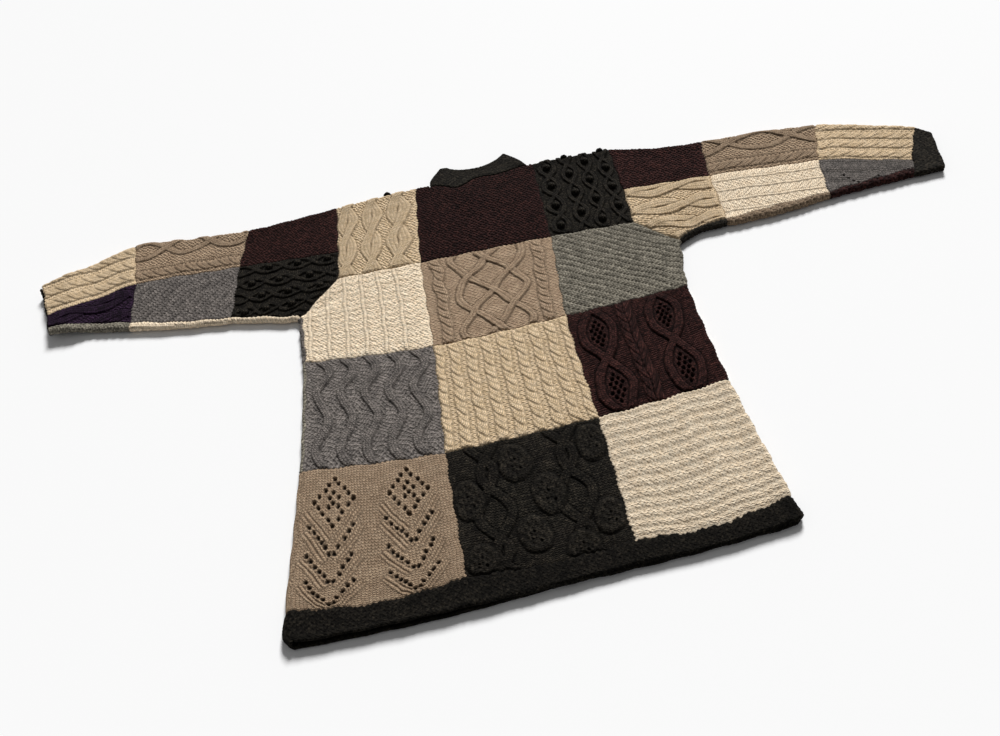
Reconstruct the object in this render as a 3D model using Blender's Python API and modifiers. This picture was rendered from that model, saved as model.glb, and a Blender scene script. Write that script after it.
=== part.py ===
"""A patchwork Aran wool sweater, laid flat on its front with its back up.

Every patch is one open surface, worked out from the garment's sizes, that Solidify turns into a
knitted wall. The lower layer is the front and the upper layer is the back. The two layers meet in
rounded folds down the sides of the body and along both edges of each sleeve.

The frame: X across the chest, Y up the body from hem to collar, Z up from the surface it lies on.
The origin is on the underside, in the middle of the garment.
"""

import math
from collections import namedtuple

import bmesh
import bpy
import numpy as np
from mathutils import Vector

MM = 0.001

# Driving dimensions, in millimetres.
SHOULDER_Y = 450.0  # the shoulder line above the origin; the tables below count down from it
WALL = 4.5  # thickness of the knitted wall
BAND_WALL = 4.7  # thickness of the hem, cuff and collar ribs
LAYER_GAP = 0.5  # between the front layer and the back layer that lies on it
SEAM_GAP = 0.5  # between two patches at a seam
NECK_CLEAR = 1.0  # between the collar and the neckline
FOLD_RADIUS = 5.2  # outer radius of a fold's upper and lower halves
FOLD_STRAIGHT = 0.8  # height of the straight stretch between them, at the outline
FOLD_HEIGHT = 2 * FOLD_RADIUS + FOLD_STRAIGHT
CROWN_WIDTH = 20.0  # how far a fold lifts the layer beside it
SIDE_STRIP = 1.2  # how far the front reaches past the left side fold onto the back
HEM_FRONT_EXTRA = 10.0  # how far the front hem band shows beyond the back one
HEM_CORNER = 7.0  # how far the hem corners are rounded in
NECK_RISE = 4.0  # the back neckline's arch above the shoulder folds
SCOOP_DEPTH = 70.0  # the front neckline's depth

BodyLine = namedtuple("BodyLine", "left_x left_y seam1_x seam1_y seam2_x seam2_y right_x right_y")
# One row for each seam line across the body, from the shoulder line to the lower edge of the hem.
BODY_LINES = (
    BodyLine(-229, 0, -92, 5, 111, 3, 241, -5),
    BodyLine(-290, -174, -98, -182, 107, -188, 286, -199),
    BodyLine(-285, -340, -94, -361, 97, -358, 274, -351),
    BodyLine(-286, -527, -95, -544, 102, -540, 275, -525),
    BodyLine(-299, -714, -88, -717, 104, -714, 288, -701),
    BodyLine(-301, -744, -86, -748, 106, -742, 293, -731),
)

Armhole = namedtuple("Armhole", "corner_x corner_y underarm_x underarm_y")
LEFT_ARMHOLE = Armhole(-229, -177, -293, -252)
RIGHT_ARMHOLE = Armhole(235, -197, 291, -262)

SleeveLine = namedtuple("SleeveLine", "top_x top_y mid_x mid_y low_x low_y strip")
# One row for each half length of a sleeve patch, from the armhole to the cuff seam: the outline on
# top, the seam between rows A and B, the outline below, and how far row C shows inside it.
LEFT_SLEEVE = (
    SleeveLine(-229, 0, -229, -114, -293, -252, 7),
    SleeveLine(-305, -5, -312, -106, -345, -236, 8),
    SleeveLine(-384, -7, -395, -97, -399, -222, 8),
    SleeveLine(-484, 4, -484, -89, -484, -207, 10),
    SleeveLine(-588, 20, -572, -82, -566, -188, 15),
    SleeveLine(-662, -12, -643, -100, -636, -171, 15),
    SleeveLine(-737, -43, -711, -119, -699, -163, 13),
)
RIGHT_SLEEVE = (
    SleeveLine(241, -5, 239, -116, 291, -262, 7),
    SleeveLine(312, -29, 306, -122, 328, -246, 8),
    SleeveLine(387, -40, 374, -128, 366, -246, 10),
    SleeveLine(478, -48, 457, -138, 448, -244, 15),
    SleeveLine(568, -63, 540, -149, 522, -235, 9),
    SleeveLine(638, -91, 606, -171, 597, -230, 12),
    SleeveLine(704, -122, 665, -194, 655, -228, 15),
)

Cuff = namedtuple("Cuff", "top_x top_y mid_x mid_y low_x low_y")
RIGHT_CUFF_EDGE = Cuff(721, -143, 701, -203, 694, -227)

CollarLine = namedtuple("CollarLine", "left_x left_y right_x right_y back_bow front_bow")
# Across the collar from the neckline to the rim: its two folded edges, and how far the back and the
# front wall bow up (or sag) between them.
COLLAR_LINES = (
    CollarLine(-65.4, 1, 103.4, 0, NECK_RISE, -SCOOP_DEPTH),
    CollarLine(-64, 19, 93, 19, 1, -66),
    CollarLine(-46, 47, 69, 52, -22, -76),
)

YARNS = {  # sRGB colour of each yarn
    "cream": (0.80, 0.73, 0.61),
    "ivory": (0.86, 0.80, 0.71),
    "taupe": (0.56, 0.49, 0.43),
    "mid_gray": (0.46, 0.45, 0.45),
    "light_gray": (0.53, 0.52, 0.50),
    "charcoal": (0.15, 0.15, 0.14),
    "burgundy": (0.22, 0.14, 0.14),
    "aubergine": (0.17, 0.12, 0.15),
}
BACK_YARNS = (
    ("cream", "burgundy", "charcoal"),
    ("ivory", "taupe", "light_gray"),
    ("mid_gray", "cream", "burgundy"),
    ("taupe", "charcoal", "ivory"),
)
FRONT_YARNS = (
    ("charcoal", "ivory", "cream"),
    ("mid_gray", "burgundy", "charcoal"),
    ("light_gray", "taupe", "ivory"),
    ("taupe", "cream", "mid_gray"),
)
LEFT_SLEEVE_YARNS = {
    "a": ("burgundy", "taupe", "cream"),
    "b": ("charcoal", "mid_gray", "aubergine"),
    "c": ("ivory", "ivory", "light_gray"),
    "d": ("taupe", "charcoal", "ivory"),
}
RIGHT_SLEEVE_YARNS = {
    "a": ("burgundy", "taupe", "cream"),
    "b": ("cream", "ivory", "mid_gray"),
    "c": ("charcoal", "taupe", "burgundy"),
    "d": ("light_gray", "cream", "charcoal"),
}
COLUMNS = ("left", "center", "right")


def spline(points, t):
    """A smooth curve through the points, which lie one unit of t apart."""
    points = np.asarray(points, float)
    last = len(points) - 1
    i = min(max(int(t), 0), last - 1)
    f = t - i
    before = points[i - 1] if i else 2 * points[0] - points[1]
    after = points[i + 2] if i + 2 <= last else 2 * points[last] - points[last - 1]
    here, there = points[i], points[i + 1]
    curve = 2 * here + (there - before) * f
    curve = curve + (2 * before - 5 * here + 4 * there - after) * f * f
    return (curve + (3 * here - before - 3 * there + after) * f**3) / 2


def unit(vector):
    return vector / np.linalg.norm(vector)


def mix(a, b, f):
    return a + (b - a) * f


def ease(t):
    """Rises smoothly from 0 to 1 as t does, and stays there."""
    t = min(max(t, 0.0), 1.0)
    return t * t * (3 - 2 * t)


def point(x, y):
    """A place in the garment's plane, from the tables' height below the shoulder line."""
    return np.array([float(x), float(y) + SHOULDER_Y])


# ---------------------------------------------------------------- the body's plan

LEFT, RIGHT = 0, 1
ROW_HEIGHT = 180.0
UNDERARM_V = 1.42  # where the underarm comes between seam lines 1 and 2
UNDERARM_BEND = 22.0  # the outlines curve over this length beside the underarm
UP = np.array([0.0, 1.0])
SEAM_LINES = (
    [point(line.seam1_x, line.seam1_y) for line in BODY_LINES],
    [point(line.seam2_x, line.seam2_y) for line in BODY_LINES],
)
for side_line in SEAM_LINES:
    side_line[0] = side_line[0] - [0, FOLD_RADIUS]
ARMHOLES = (LEFT_ARMHOLE, RIGHT_ARMHOLE)
CORNERS = tuple(point(a.corner_x, a.corner_y) for a in ARMHOLES)
UNDERARMS = tuple(point(a.underarm_x, a.underarm_y) for a in ARMHOLES)
MITERS = tuple(unit(UNDERARMS[side] - CORNERS[side]) for side in (LEFT, RIGHT))
SHOULDER_ENDS = (
    point(BODY_LINES[0].left_x, BODY_LINES[0].left_y - FOLD_RADIUS),
    point(BODY_LINES[0].right_x, BODY_LINES[0].right_y - FOLD_RADIUS),
)
SIDE_POINTS = (
    [UNDERARMS[LEFT]] + [point(line.left_x, line.left_y) for line in BODY_LINES[2:]],
    [UNDERARMS[RIGHT]] + [point(line.right_x, line.right_y) for line in BODY_LINES[2:]],
)


def from_underarm(side, place, along):
    """Bends an outline beside the underarm, so that it leaves the armhole seam square to it."""
    square = np.array([-MITERS[side][1], MITERS[side][0]])
    if square @ along < 0:
        square = -square
    distance = np.linalg.norm(place - UNDERARMS[side])
    return mix(UNDERARMS[side] + distance * square, place, ease(distance / UNDERARM_BEND))


def side_outline(side, v):
    """The side's outline, with the hem corner rounded in."""
    t = (v - UNDERARM_V) / (2 - UNDERARM_V) if v < 2 else v - 1
    outline = from_underarm(side, spline(SIDE_POINTS[side], t), -UP)
    low = max(0.0, (v - 4.55) / 0.45)
    inward = HEM_CORNER * low * low
    return outline + [inward if side == LEFT else -inward, 0]


def side_direction(side, v):
    """Outward across the side fold: along the armhole seam at the underarm, level below it."""
    level = unit(side_outline(side, v) - spline(SEAM_LINES[side], v))
    return unit(mix(level, MITERS[side], 1 - ease((v - UNDERARM_V) / 0.35)))


def flat_end(side, v):
    """Where the flat of the panel ends: at the armhole seam, or where the side fold starts."""
    if v <= 1:
        return mix(SHOULDER_ENDS[side], CORNERS[side], v)
    underarm = UNDERARMS[side] - FOLD_RADIUS * MITERS[side]
    if v < UNDERARM_V:
        return mix(CORNERS[side], underarm, (v - 1) / (UNDERARM_V - 1))
    return side_outline(side, v) - FOLD_RADIUS * side_direction(side, v)


def body_flat(u, v):
    """A place on the flat of the body: u from 0 to 3 across the columns, v down the rows."""
    across = [flat_end(LEFT, v), spline(SEAM_LINES[0], v)]
    across += [spline(SEAM_LINES[1], v), flat_end(RIGHT, v)]
    return spline(across, u)


# ---------------------------------------------------------------- the sleeves' plan

SLEEVES = (LEFT_SLEEVE, RIGHT_SLEEVE)
KNEE = 0.42  # where the armhole's corner comes across row B
LIFT = 7.4  # how far the turned-under cuff lifts the left sleeve's end
Section = namedtuple("Section", "top top_out mid knee low low_out strip")


def sleeve_section(side, s):
    """The places across a sleeve, s seam lengths from the armhole: fold starts and seams."""
    table = SLEEVES[side]
    top = spline([point(line.top_x, line.top_y) for line in table], 2 * s)
    mid = spline([point(line.mid_x, line.mid_y) for line in table], 2 * s)
    low = spline([point(line.low_x, line.low_y) for line in table], 2 * s)
    low = from_underarm(side, low, [-1, 0] if side == LEFT else [1, 0])
    strip = float(spline([[line.strip] for line in table], 2 * s)[0])
    return section_of(side, top, mid, low, strip, s)


def section_of(side, top, mid, low, strip, s):
    across = unit(top - low)
    near = 1 - ease(3 * s)
    top_out = unit(mix(across, UP, near))
    low_out = unit(mix(-across, MITERS[side], near))
    top = top - FOLD_RADIUS * top_out
    low = low - FOLD_RADIUS * low_out
    first_mid = point(SLEEVES[side][0].mid_x, SLEEVES[side][0].mid_y)
    first_low = UNDERARMS[side] - FOLD_RADIUS * MITERS[side]
    bend = CORNERS[side] - mix(first_mid, first_low, KNEE)
    knee = mix(mid, low, KNEE) + bend * max(0.0, 1 - s) ** 2
    return Section(top, top_out, mid, knee, low, low_out, strip)


def strip_start(section):
    """The seam between rows B and C, on the back just inside the lower fold."""
    return section.low + (section.strip - FOLD_RADIUS) * unit(section.knee - section.low)


def lift_at(side, s):
    """How high the left sleeve's end lies on its own turned-under cuff."""
    return LIFT * ease((s - 2.42) / 0.33) if side == LEFT else 0.0


# ---------------------------------------------------------------- heights


def fold_starts():
    """Places along every fold, 5 mm apart or so, from which the crown beside a fold is measured."""
    places = [body_flat(mix(0, 1 + NECK[0], f), 0) for f in np.linspace(0, 1, 30)]
    places += [body_flat(mix(1 + NECK[1], 3, f), 0) for f in np.linspace(0, 1, 30)]
    for side in (LEFT, RIGHT):
        places += [flat_end(side, v) for v in np.linspace(UNDERARM_V, 5, 110)]
        for s in np.linspace(0, 3, 90):
            section = sleeve_section(side, s)
            places += [section.top, section.low]
    return np.array(places)


def top_height(place, wall=WALL):
    """The top of the back layer: flat, and a little higher beside a fold."""
    nearest = np.sqrt(((FOLD_STARTS - place) ** 2).sum(1).min())
    return mix(FOLD_HEIGHT, 2 * wall + LAYER_GAP, ease(nearest / CROWN_WIDTH))


def on_back(place, wall=WALL, base=0.0):
    """A point on the back layer's inner face."""
    return (*place, base + top_height(place, wall) - wall)


def on_front(place, wall=WALL, base=0.0):
    """A point on the front layer's inner face."""
    return (*place, base + wall)


def on_fold(start, out, station, wall=WALL, base=0.0):
    """A point on a fold's inner face, at an angle and at a part of the straight stretch."""
    angle = math.radians(station.degrees)
    reach = FOLD_RADIUS - wall
    height = FOLD_RADIUS + station.rise * FOLD_STRAIGHT + reach * math.cos(angle)
    return (*(start + reach * math.sin(angle) * out), base + height)


Station = namedtuple("Station", "degrees rise")  # 0 degrees on top, 90 at the outline, 180 below
OVER = (Station(60, 1), Station(30, 1))
UNDER = (Station(120, 0), Station(150, 0))
HALF_FOLDS = {
    "back": (Station(90, 0.5), Station(90, 1), *OVER),
    "front": (Station(90, 0.5), Station(90, 0), *UNDER),
}
WHOLE_FOLD = (Station(0, 1), *OVER[::-1], Station(90, 1), Station(90, 0), *UNDER)


# ---------------------------------------------------------------- from a grid to a knitted wall


def wall_from_grid(name, rows, wall, yarn, keep=None):
    """One patch: a grid of points, each cell a face, given its thickness by Solidify."""
    grid = np.array(rows, float)
    height, width = grid.shape[:2]
    index = np.arange(height * width).reshape(height, width)
    cells = [(r, c) for r in range(height - 1) for c in range(width - 1)]
    if keep is not None:
        cells = [cell for cell in cells if keep(*cell)]
    faces = [(index[r, c], index[r, c + 1], index[r + 1, c + 1], index[r + 1, c]) for r, c in cells]
    mesh = bpy.data.meshes.new(name)
    mesh.from_pydata((grid.reshape(-1, 3) * MM).tolist(), [], [tuple(map(int, f)) for f in faces])
    finish_patch(name, mesh, wall, yarn)


def finish_patch(name, mesh, wall, yarn):
    sheet = bmesh.new()
    sheet.from_mesh(mesh)
    loose = [vertex for vertex in sheet.verts if not vertex.link_faces]
    bmesh.ops.delete(sheet, geom=loose, context="VERTS")
    pull_in_edges(sheet, SEAM_GAP / 2 * MM)
    bmesh.ops.triangulate(sheet, faces=sheet.faces[:])
    sheet.to_mesh(mesh)
    sheet.free()
    patch = bpy.data.objects.new(name, mesh)
    PARTS.objects.link(patch)
    patch.data.materials.append(YARN_MATERIALS[yarn])
    thicken = patch.modifiers.new("Knitted wall", "SOLIDIFY")
    thicken.thickness = wall * MM
    thicken.offset = 1
    thicken.use_even_offset = True
    thicken.use_quality_normals = True


def pull_in_edges(sheet, distance):
    """Moves the open edges of a sheet inward, so that it keeps clear of its neighbour at a seam."""
    moves = {}
    for edge in sheet.edges:
        if not edge.is_boundary:
            continue
        along = (edge.verts[1].co - edge.verts[0].co).normalized()
        inward = edge.link_faces[0].calc_center_median() - edge.verts[0].co
        inward = (inward - inward.dot(along) * along).normalized()
        for vertex in edge.verts:
            moves.setdefault(vertex, []).append(inward)
    for vertex, inwards in moves.items():
        together = sum(inwards, Vector())
        if len(inwards) == 2:
            together = together / max(0.4, 1 + inwards[0].dot(inwards[1]))
        vertex.co = vertex.co + together * distance


# ---------------------------------------------------------------- the body's patches

CROWN_STEPS = (0.0, 0.06, 0.16)  # extra stations beside a fold, as parts of a patch's width
SIDE_STATIONS = (*CROWN_STEPS, 0.55, 1.0)
ROW_STATIONS = (0.0, 1 / 3, 2 / 3, 1.0)
FIRST_ROW_STATIONS = (0.0, 0.05, 0.12, 0.5, 1.0)
SECOND_ROW_STATIONS = (0.0, 0.2, UNDERARM_V - 1, 0.44, 0.5, 0.6, 0.78, 1.0)
HEM_ROW = 4
NECK_TURN = np.linspace(0, math.pi, 7)
NECK = (0.13, 0.965)  # the neckline's two ends, as parts of the middle patch's width
NECK_STATIONS = tuple(mix(*NECK, (1 - math.cos(turn)) / 2) for turn in NECK_TURN)
CENTER_STATIONS = (0.0, 0.25, 0.5, 0.75, 1.0)


def column_stations(column, row):
    if column == 1:
        parts = (0.0, *NECK_STATIONS, 1.0) if row == 0 else CENTER_STATIONS
        return [1 + part for part in parts]
    if column == 0:
        return list(SIDE_STATIONS)
    return [3 - part for part in reversed(SIDE_STATIONS)]


def row_stations(row):
    if row == HEM_ROW:
        return [HEM_ROW + part for part in (0.0, 0.55, 0.75, 0.9, 1.0)]
    parts = {0: FIRST_ROW_STATIONS, 1: SECOND_ROW_STATIONS}.get(row, ROW_STATIONS)
    return [row + part for part in parts]


def neck_v(u, depth):
    """How far the neckline cuts down into the middle patch, in rows."""
    part = (u - 1 - NECK[0]) / (NECK[1] - NECK[0])
    if not 0 < part < 1:
        return 0.0
    return depth / ROW_HEIGHT * math.sqrt(1 - (2 * part - 1) ** 2)


def on_layer(place, layer, wall):
    return on_back(place, wall) if layer == "back" else on_front(place, wall)


def strip_point(v, wall):
    """Where the left side seam lies on the back, just inside the fold."""
    inside = flat_end(LEFT, v)
    if v >= UNDERARM_V:
        inside = inside - SIDE_STRIP * side_direction(LEFT, v)
    return on_back(inside, wall)


def side_fold(side, v, layer, wall):
    """The points round a side fold, from its seam. On the left the front goes all the way round."""
    start, out = flat_end(side, v), side_direction(side, max(v, UNDERARM_V))
    if side == RIGHT:
        return [on_fold(start, out, station, wall) for station in HALF_FOLDS[layer]]
    if layer == "back":
        return []
    return [strip_point(v, wall)] + [on_fold(start, out, station, wall) for station in WHOLE_FOLD]


def body_line(row, v, columns, layer, wall):
    """One line of points across a patch, without its side folds."""
    depth = SCOOP_DEPTH if layer == "front" else -NECK_RISE
    line = []
    for u in columns:
        down = mix(neck_v(u, depth), 1, v) if row == 0 else v
        place = body_flat(u, down)
        if layer == "front" and v == HEM_ROW + 1:
            place = place - HEM_FRONT_EXTRA * ease(min(u, 3 - u) / 0.2) * UP
        line.append(on_layer(place, layer, wall))
    if columns[0] == 0 and layer == "back":
        line[0] = strip_point(v, wall)
    return line


def body_patch(name, row, columns, layer, wall, yarn):
    """One patch or band of the body: its flat, with the folds at its edges."""
    stations = row_stations(row)
    sides = [side for side, end in ((LEFT, columns[0] == 0), (RIGHT, columns[-1] == 3)) if end]
    folds = {LEFT: [], RIGHT: []}
    lines = []
    for v in stations:
        if row > 0:
            folds.update({side: side_fold(side, v, layer, wall) for side in sides})
        lines.append(folds[LEFT] + body_line(row, v, columns, layer, wall) + folds[RIGHT][::-1])
    above = HALF_FOLDS[layer] if row == 0 else ()
    shoulder = [[on_fold(body_flat(u, 0), UP, place, wall) for u in columns] for place in above]
    lines = shoulder + lines
    first_flat = len(folds[LEFT])
    last_flat = first_flat + len(columns) - 1
    underarm = stations.index(UNDERARM_V) if row == 1 else 0

    def keep(r, c):
        if r < len(shoulder):
            middle = (columns[c] + columns[c + 1]) / 2 - 1
            return not NECK[0] < middle < NECK[1]
        return first_flat <= c < last_flat or r >= underarm

    if layer == "back":
        last = len(lines[0]) - 2
        wall_from_grid(name, [line[::-1] for line in lines], wall, yarn, lambda r, c: keep(r, last - c))
    else:
        wall_from_grid(name, lines, wall, yarn, keep)


def build_body():
    for row in range(4):
        for column, side in enumerate(COLUMNS):
            columns = column_stations(column, row)
            for layer, yarns in (("back", BACK_YARNS), ("front", FRONT_YARNS)):
                name = f"{layer}_r{row + 1}_{side}"
                body_patch(name, row, columns, layer, WALL, yarns[row][column])
    columns = [u for column in range(3) for u in column_stations(column, HEM_ROW)[column > 0 :]]
    for layer in ("back", "front"):
        body_patch(f"hem_{layer}", HEM_ROW, columns, layer, BAND_WALL, "charcoal")


# ---------------------------------------------------------------- the sleeves' patches

LENGTH_STATIONS = (
    (0.0, 0.02, 0.09, 0.3, 0.65, 1.0),
    (0.0, 0.25, 0.5, 0.75, 1.0),
    (0.0, 0.25, 0.42, 0.75, 1.0),
)


def sleeve_line(side, s, section, row):
    """One line of points across a sleeve patch: over the top, round the lower fold, underneath."""

    lift = lift_at(side, s)

    def flat(on_face, a, b, parts):
        return [on_face(mix(a, b, part), base=lift) for part in parts]

    def top_fold(stations):
        return [on_fold(section.top, section.top_out, place, base=lift) for place in stations]

    strip = strip_start(section)
    if row == "a":
        return top_fold(HALF_FOLDS["back"]) + flat(on_back, section.top, section.mid, (0, 0.1, 0.22, 1))
    if row == "b":
        line = flat(on_back, section.mid, section.knee, (0, 1))
        return line + flat(on_back, section.knee, strip, (0.5, 0.85, 1))
    if row == "c":
        line = flat(on_back, strip, strip, (0,))
        line += [on_fold(section.low, section.low_out, place, base=lift) for place in WHOLE_FOLD]
        line += flat(on_front, section.low, section.knee, (0, 0.5, 1))
        return line + flat(on_front, section.knee, section.mid, (1,))
    return flat(on_front, section.mid, section.top, (0, 0.5, 1)) + top_fold(HALF_FOLDS["front"][::-1])


def build_sleeve(side, prefix, yarns):
    for row in "abcd":
        for length in range(3):
            lines = []
            for part in LENGTH_STATIONS[length]:
                section = sleeve_section(side, length + part)
                line = sleeve_line(side, length + part, section, row)
                lines.append(line if side == RIGHT else line[::-1])
            name = f"{prefix}_sleeve_{row}{length + 1}"
            wall_from_grid(name, lines, WALL, yarns[row][length])


def build_right_cuff():
    """The right cuff carries on from the sleeve: its back half and its front half."""
    seam = sleeve_section(RIGHT, 3)
    edge = RIGHT_CUFF_EDGE
    places = (point(edge.top_x, edge.top_y), point(edge.mid_x, edge.mid_y))
    end = section_of(RIGHT, *places, point(edge.low_x, edge.low_y), FOLD_RADIUS, 3)
    halves = {"back": (band_over, (0, 0.15, 0.5, 0.85, 1)), "front": (band_under, (0, 0.5, 1))}
    for half, (height, parts) in halves.items():
        lines = []
        for part in (0.0, 0.5, 1.0):
            top, low = mix(seam.top, end.top, part), mix(seam.low, end.low, part)
            top_out = unit(mix(seam.top_out, end.top_out, part))
            low_out = unit(mix(seam.low_out, end.low_out, part))
            line = [on_fold(top, top_out, place, BAND_WALL) for place in HALF_FOLDS[half]]
            line += [(*mix(top, low, f), height(f)) for f in parts]
            line += [on_fold(low, low_out, place, BAND_WALL) for place in HALF_FOLDS[half][::-1]]
            lines.append(line if half == "back" else line[::-1])
        wall_from_grid(f"right_cuff_{half}", lines, BAND_WALL, "charcoal")


def band_over(part):
    """Height of a band's back half on its inner face, higher beside its two folds."""
    edge = ease(min(part, 1 - part) / 0.15)
    return mix(FOLD_HEIGHT, 2 * BAND_WALL + LAYER_GAP, edge) - BAND_WALL


def band_under(part):
    return BAND_WALL


# The left cuff is turned under, pressed thinner, and rises round the sleeve's end at its top
# corner: how far it reaches past the sleeve's end there, and how high.
TURNED_WALL = 3.3
TURNED_Z = 3.7  # the upper of its two walls starts here
TURNED_REACHES = (-34.0, -18.0, -1.0)
Rise = namedtuple("Rise", "reach height")
CUFF_RISE = (Rise(0.5, 0.9), Rise(0.7, 5.2), Rise(0.7, 9.7))
CUFF_PARTS = (0.0, 0.2, 0.4, 0.7, 1.0)  # from the top corner down
CUFF_LOW_END = 8.0  # it ends this far inside the lower fold


def build_left_cuff():
    """The left cuff: a wall on the ground that shows at the top corner, and a wall on it."""
    section = sleeve_section(LEFT, 3)
    along = unit(section.top - section.low)
    out = np.array([-along[1], along[0]])
    low = section.low + CUFF_LOW_END * along
    places = [mix(section.top, low, part) for part in CUFF_PARTS]
    lower = [[(*(place + reach * out), TURNED_WALL) for place in places] for reach in TURNED_REACHES]
    for rise in CUFF_RISE:
        heights = [TURNED_WALL + rise.height * (1 - 0.6 * ease(part / 0.4)) for part in CUFF_PARTS]
        lower.append([(*(place + rise.reach * out), height) for place, height in zip(places, heights)])
    last_under = len(TURNED_REACHES) - 1
    wall_from_grid("left_cuff_back", lower, TURNED_WALL, "charcoal", lambda r, c: r < last_under or c < 2)
    upper = [[(*(place + reach * out), TURNED_Z) for place in places] for reach in TURNED_REACHES]
    wall_from_grid("left_cuff_front", [line[::-1] for line in upper], TURNED_WALL, "charcoal")


# ---------------------------------------------------------------- the collar


def neck_edge(layer):
    """The neckline's points on a body layer."""
    depth = SCOOP_DEPTH if layer == "front" else -NECK_RISE
    return [body_flat(1 + u, neck_v(1 + u, depth)) for u in NECK_STATIONS]


def collar_base(layer):
    """The collar's seam along the neckline, just clear of it."""
    edge = neck_edge(layer)
    clear = SEAM_GAP + FOLD_RADIUS
    left, right = edge[0] + [clear, SEAM_GAP], edge[-1] + [-clear, SEAM_GAP]
    if layer == "front":
        middle = [place + [0, SEAM_GAP] for place in edge[1:-1]]
        return [left, *middle, right]
    xs, ys = [place[0] for place in edge], [place[1] for place in edge]
    parts = [(1 - math.cos(turn)) / 2 for turn in NECK_TURN]
    places = [mix(left[0], right[0], part) for part in parts]
    return [np.array([x, np.interp(x, xs, ys) + NECK_CLEAR]) for x in places]


def edge_direction(side, level):
    """Outward across the collar's folded edge."""
    if level == 0:
        return np.array([-1.0, 0.0]) if side == LEFT else np.array([1.0, 0.0])
    ends = [point(*((l.left_x, l.left_y) if side == LEFT else (l.right_x, l.right_y))) for l in COLLAR_LINES]
    along = unit(ends[min(level + 1, 2)] - ends[level - 1])
    return np.array([-along[1], along[0]]) if side == LEFT else np.array([along[1], -along[0]])


def collar_line(level, layer):
    """The points across one level of the collar, with its two fold starts at the ends."""
    if level == 0:
        return collar_base(layer)
    line = COLLAR_LINES[level]
    bow = line.back_bow if layer == "back" else line.front_bow
    left = point(line.left_x, line.left_y) - FOLD_RADIUS * edge_direction(LEFT, level)
    right = point(line.right_x, line.right_y) - FOLD_RADIUS * edge_direction(RIGHT, level)
    places = []
    for turn in NECK_TURN:
        part = (1 - math.cos(turn)) / 2
        sag = 1 - abs(2 * part - 1) ** 2.4 if layer == "back" else math.sin(turn)
        places.append(mix(left, right, part) + [0, bow * sag])
    return places


def build_collar():
    heights = {"back": band_over, "front": band_under}
    for layer, height in heights.items():
        lines = []
        for level in range(len(COLLAR_LINES)):
            places = collar_line(level, layer)
            ends = ((places[0], edge_direction(LEFT, level)), (places[-1], edge_direction(RIGHT, level)))
            folds = [[on_fold(*end, place, BAND_WALL) for place in HALF_FOLDS[layer]] for end in ends]
            line = [(*place, height((1 - math.cos(turn)) / 2)) for place, turn in zip(places, NECK_TURN)]
            line = folds[0] + line + folds[1][::-1]
            lines.append(line if layer == "back" else line[::-1])
        wall_from_grid(f"collar_{layer}", lines, BAND_WALL, "charcoal")


# ---------------------------------------------------------------- the scene


def clear_scene():
    for old in list(bpy.data.objects):
        bpy.data.objects.remove(old, do_unlink=True)


def linear(channel):
    """The linear value of one sRGB channel."""
    return channel / 12.92 if channel <= 0.04045 else ((channel + 0.055) / 1.055) ** 2.4


def yarn_material(name, color):
    material = bpy.data.materials.new(f"{name}_wool")
    material.use_nodes = True
    surface = material.node_tree.nodes["Principled BSDF"]
    surface.inputs["Base Color"].default_value = (*map(linear, color), 1)
    surface.inputs["Roughness"].default_value = 0.95
    surface.inputs["Metallic"].default_value = 0.0
    return material


clear_scene()
PARTS = bpy.data.collections.new("patchwork_wool_sweater")
bpy.context.scene.collection.children.link(PARTS)
YARN_MATERIALS = {name: yarn_material(name, color) for name, color in YARNS.items()}
FOLD_STARTS = fold_starts()
build_body()
build_sleeve(LEFT, "left", LEFT_SLEEVE_YARNS)
build_sleeve(RIGHT, "right", RIGHT_SLEEVE_YARNS)
build_right_cuff()
build_left_cuff()
build_collar()
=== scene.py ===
# %% [markdown]
# # A patchwork wool sweater, laid out flat
# The sweater is knitted in squares of eight yarns, each square in its own Aran pattern: ropes, waves,
# bobbles, lace. The squares are sewn together, and charcoal ribs close the neck, the hem and the cuffs.
# It lies on its front, so the back is up.
#
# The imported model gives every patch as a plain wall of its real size. This script knits each wall: it
# lays out the same surface again, much finer, and raises the pattern on it.

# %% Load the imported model
import math
from collections import namedtuple
from types import SimpleNamespace
import bpy
import numpy as np
from mathutils import Matrix, Vector


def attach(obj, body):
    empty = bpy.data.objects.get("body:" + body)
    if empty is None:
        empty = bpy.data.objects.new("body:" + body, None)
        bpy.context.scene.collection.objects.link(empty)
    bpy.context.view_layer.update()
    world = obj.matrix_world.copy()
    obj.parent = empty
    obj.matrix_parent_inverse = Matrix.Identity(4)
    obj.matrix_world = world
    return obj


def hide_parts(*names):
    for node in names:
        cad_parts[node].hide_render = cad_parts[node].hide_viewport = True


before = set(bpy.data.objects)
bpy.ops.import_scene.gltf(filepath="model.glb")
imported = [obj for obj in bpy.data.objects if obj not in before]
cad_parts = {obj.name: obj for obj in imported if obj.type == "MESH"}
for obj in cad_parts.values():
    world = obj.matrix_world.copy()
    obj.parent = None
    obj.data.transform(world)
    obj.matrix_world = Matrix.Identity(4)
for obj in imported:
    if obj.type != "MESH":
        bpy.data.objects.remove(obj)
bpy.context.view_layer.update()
MM = 0.001
TURN = 2 * math.pi

# %% [markdown]
# ## The garment's plan
# A garment is drafted flat, from a few measures: the seam lines, the armholes, the sleeves. The packed
# model's own draft is repeated here, because the finer surface has to lie exactly where the walls lie.
# Short tables hold the measures, in millimetres below the shoulder line, and smooth curves run through
# them.

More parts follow.
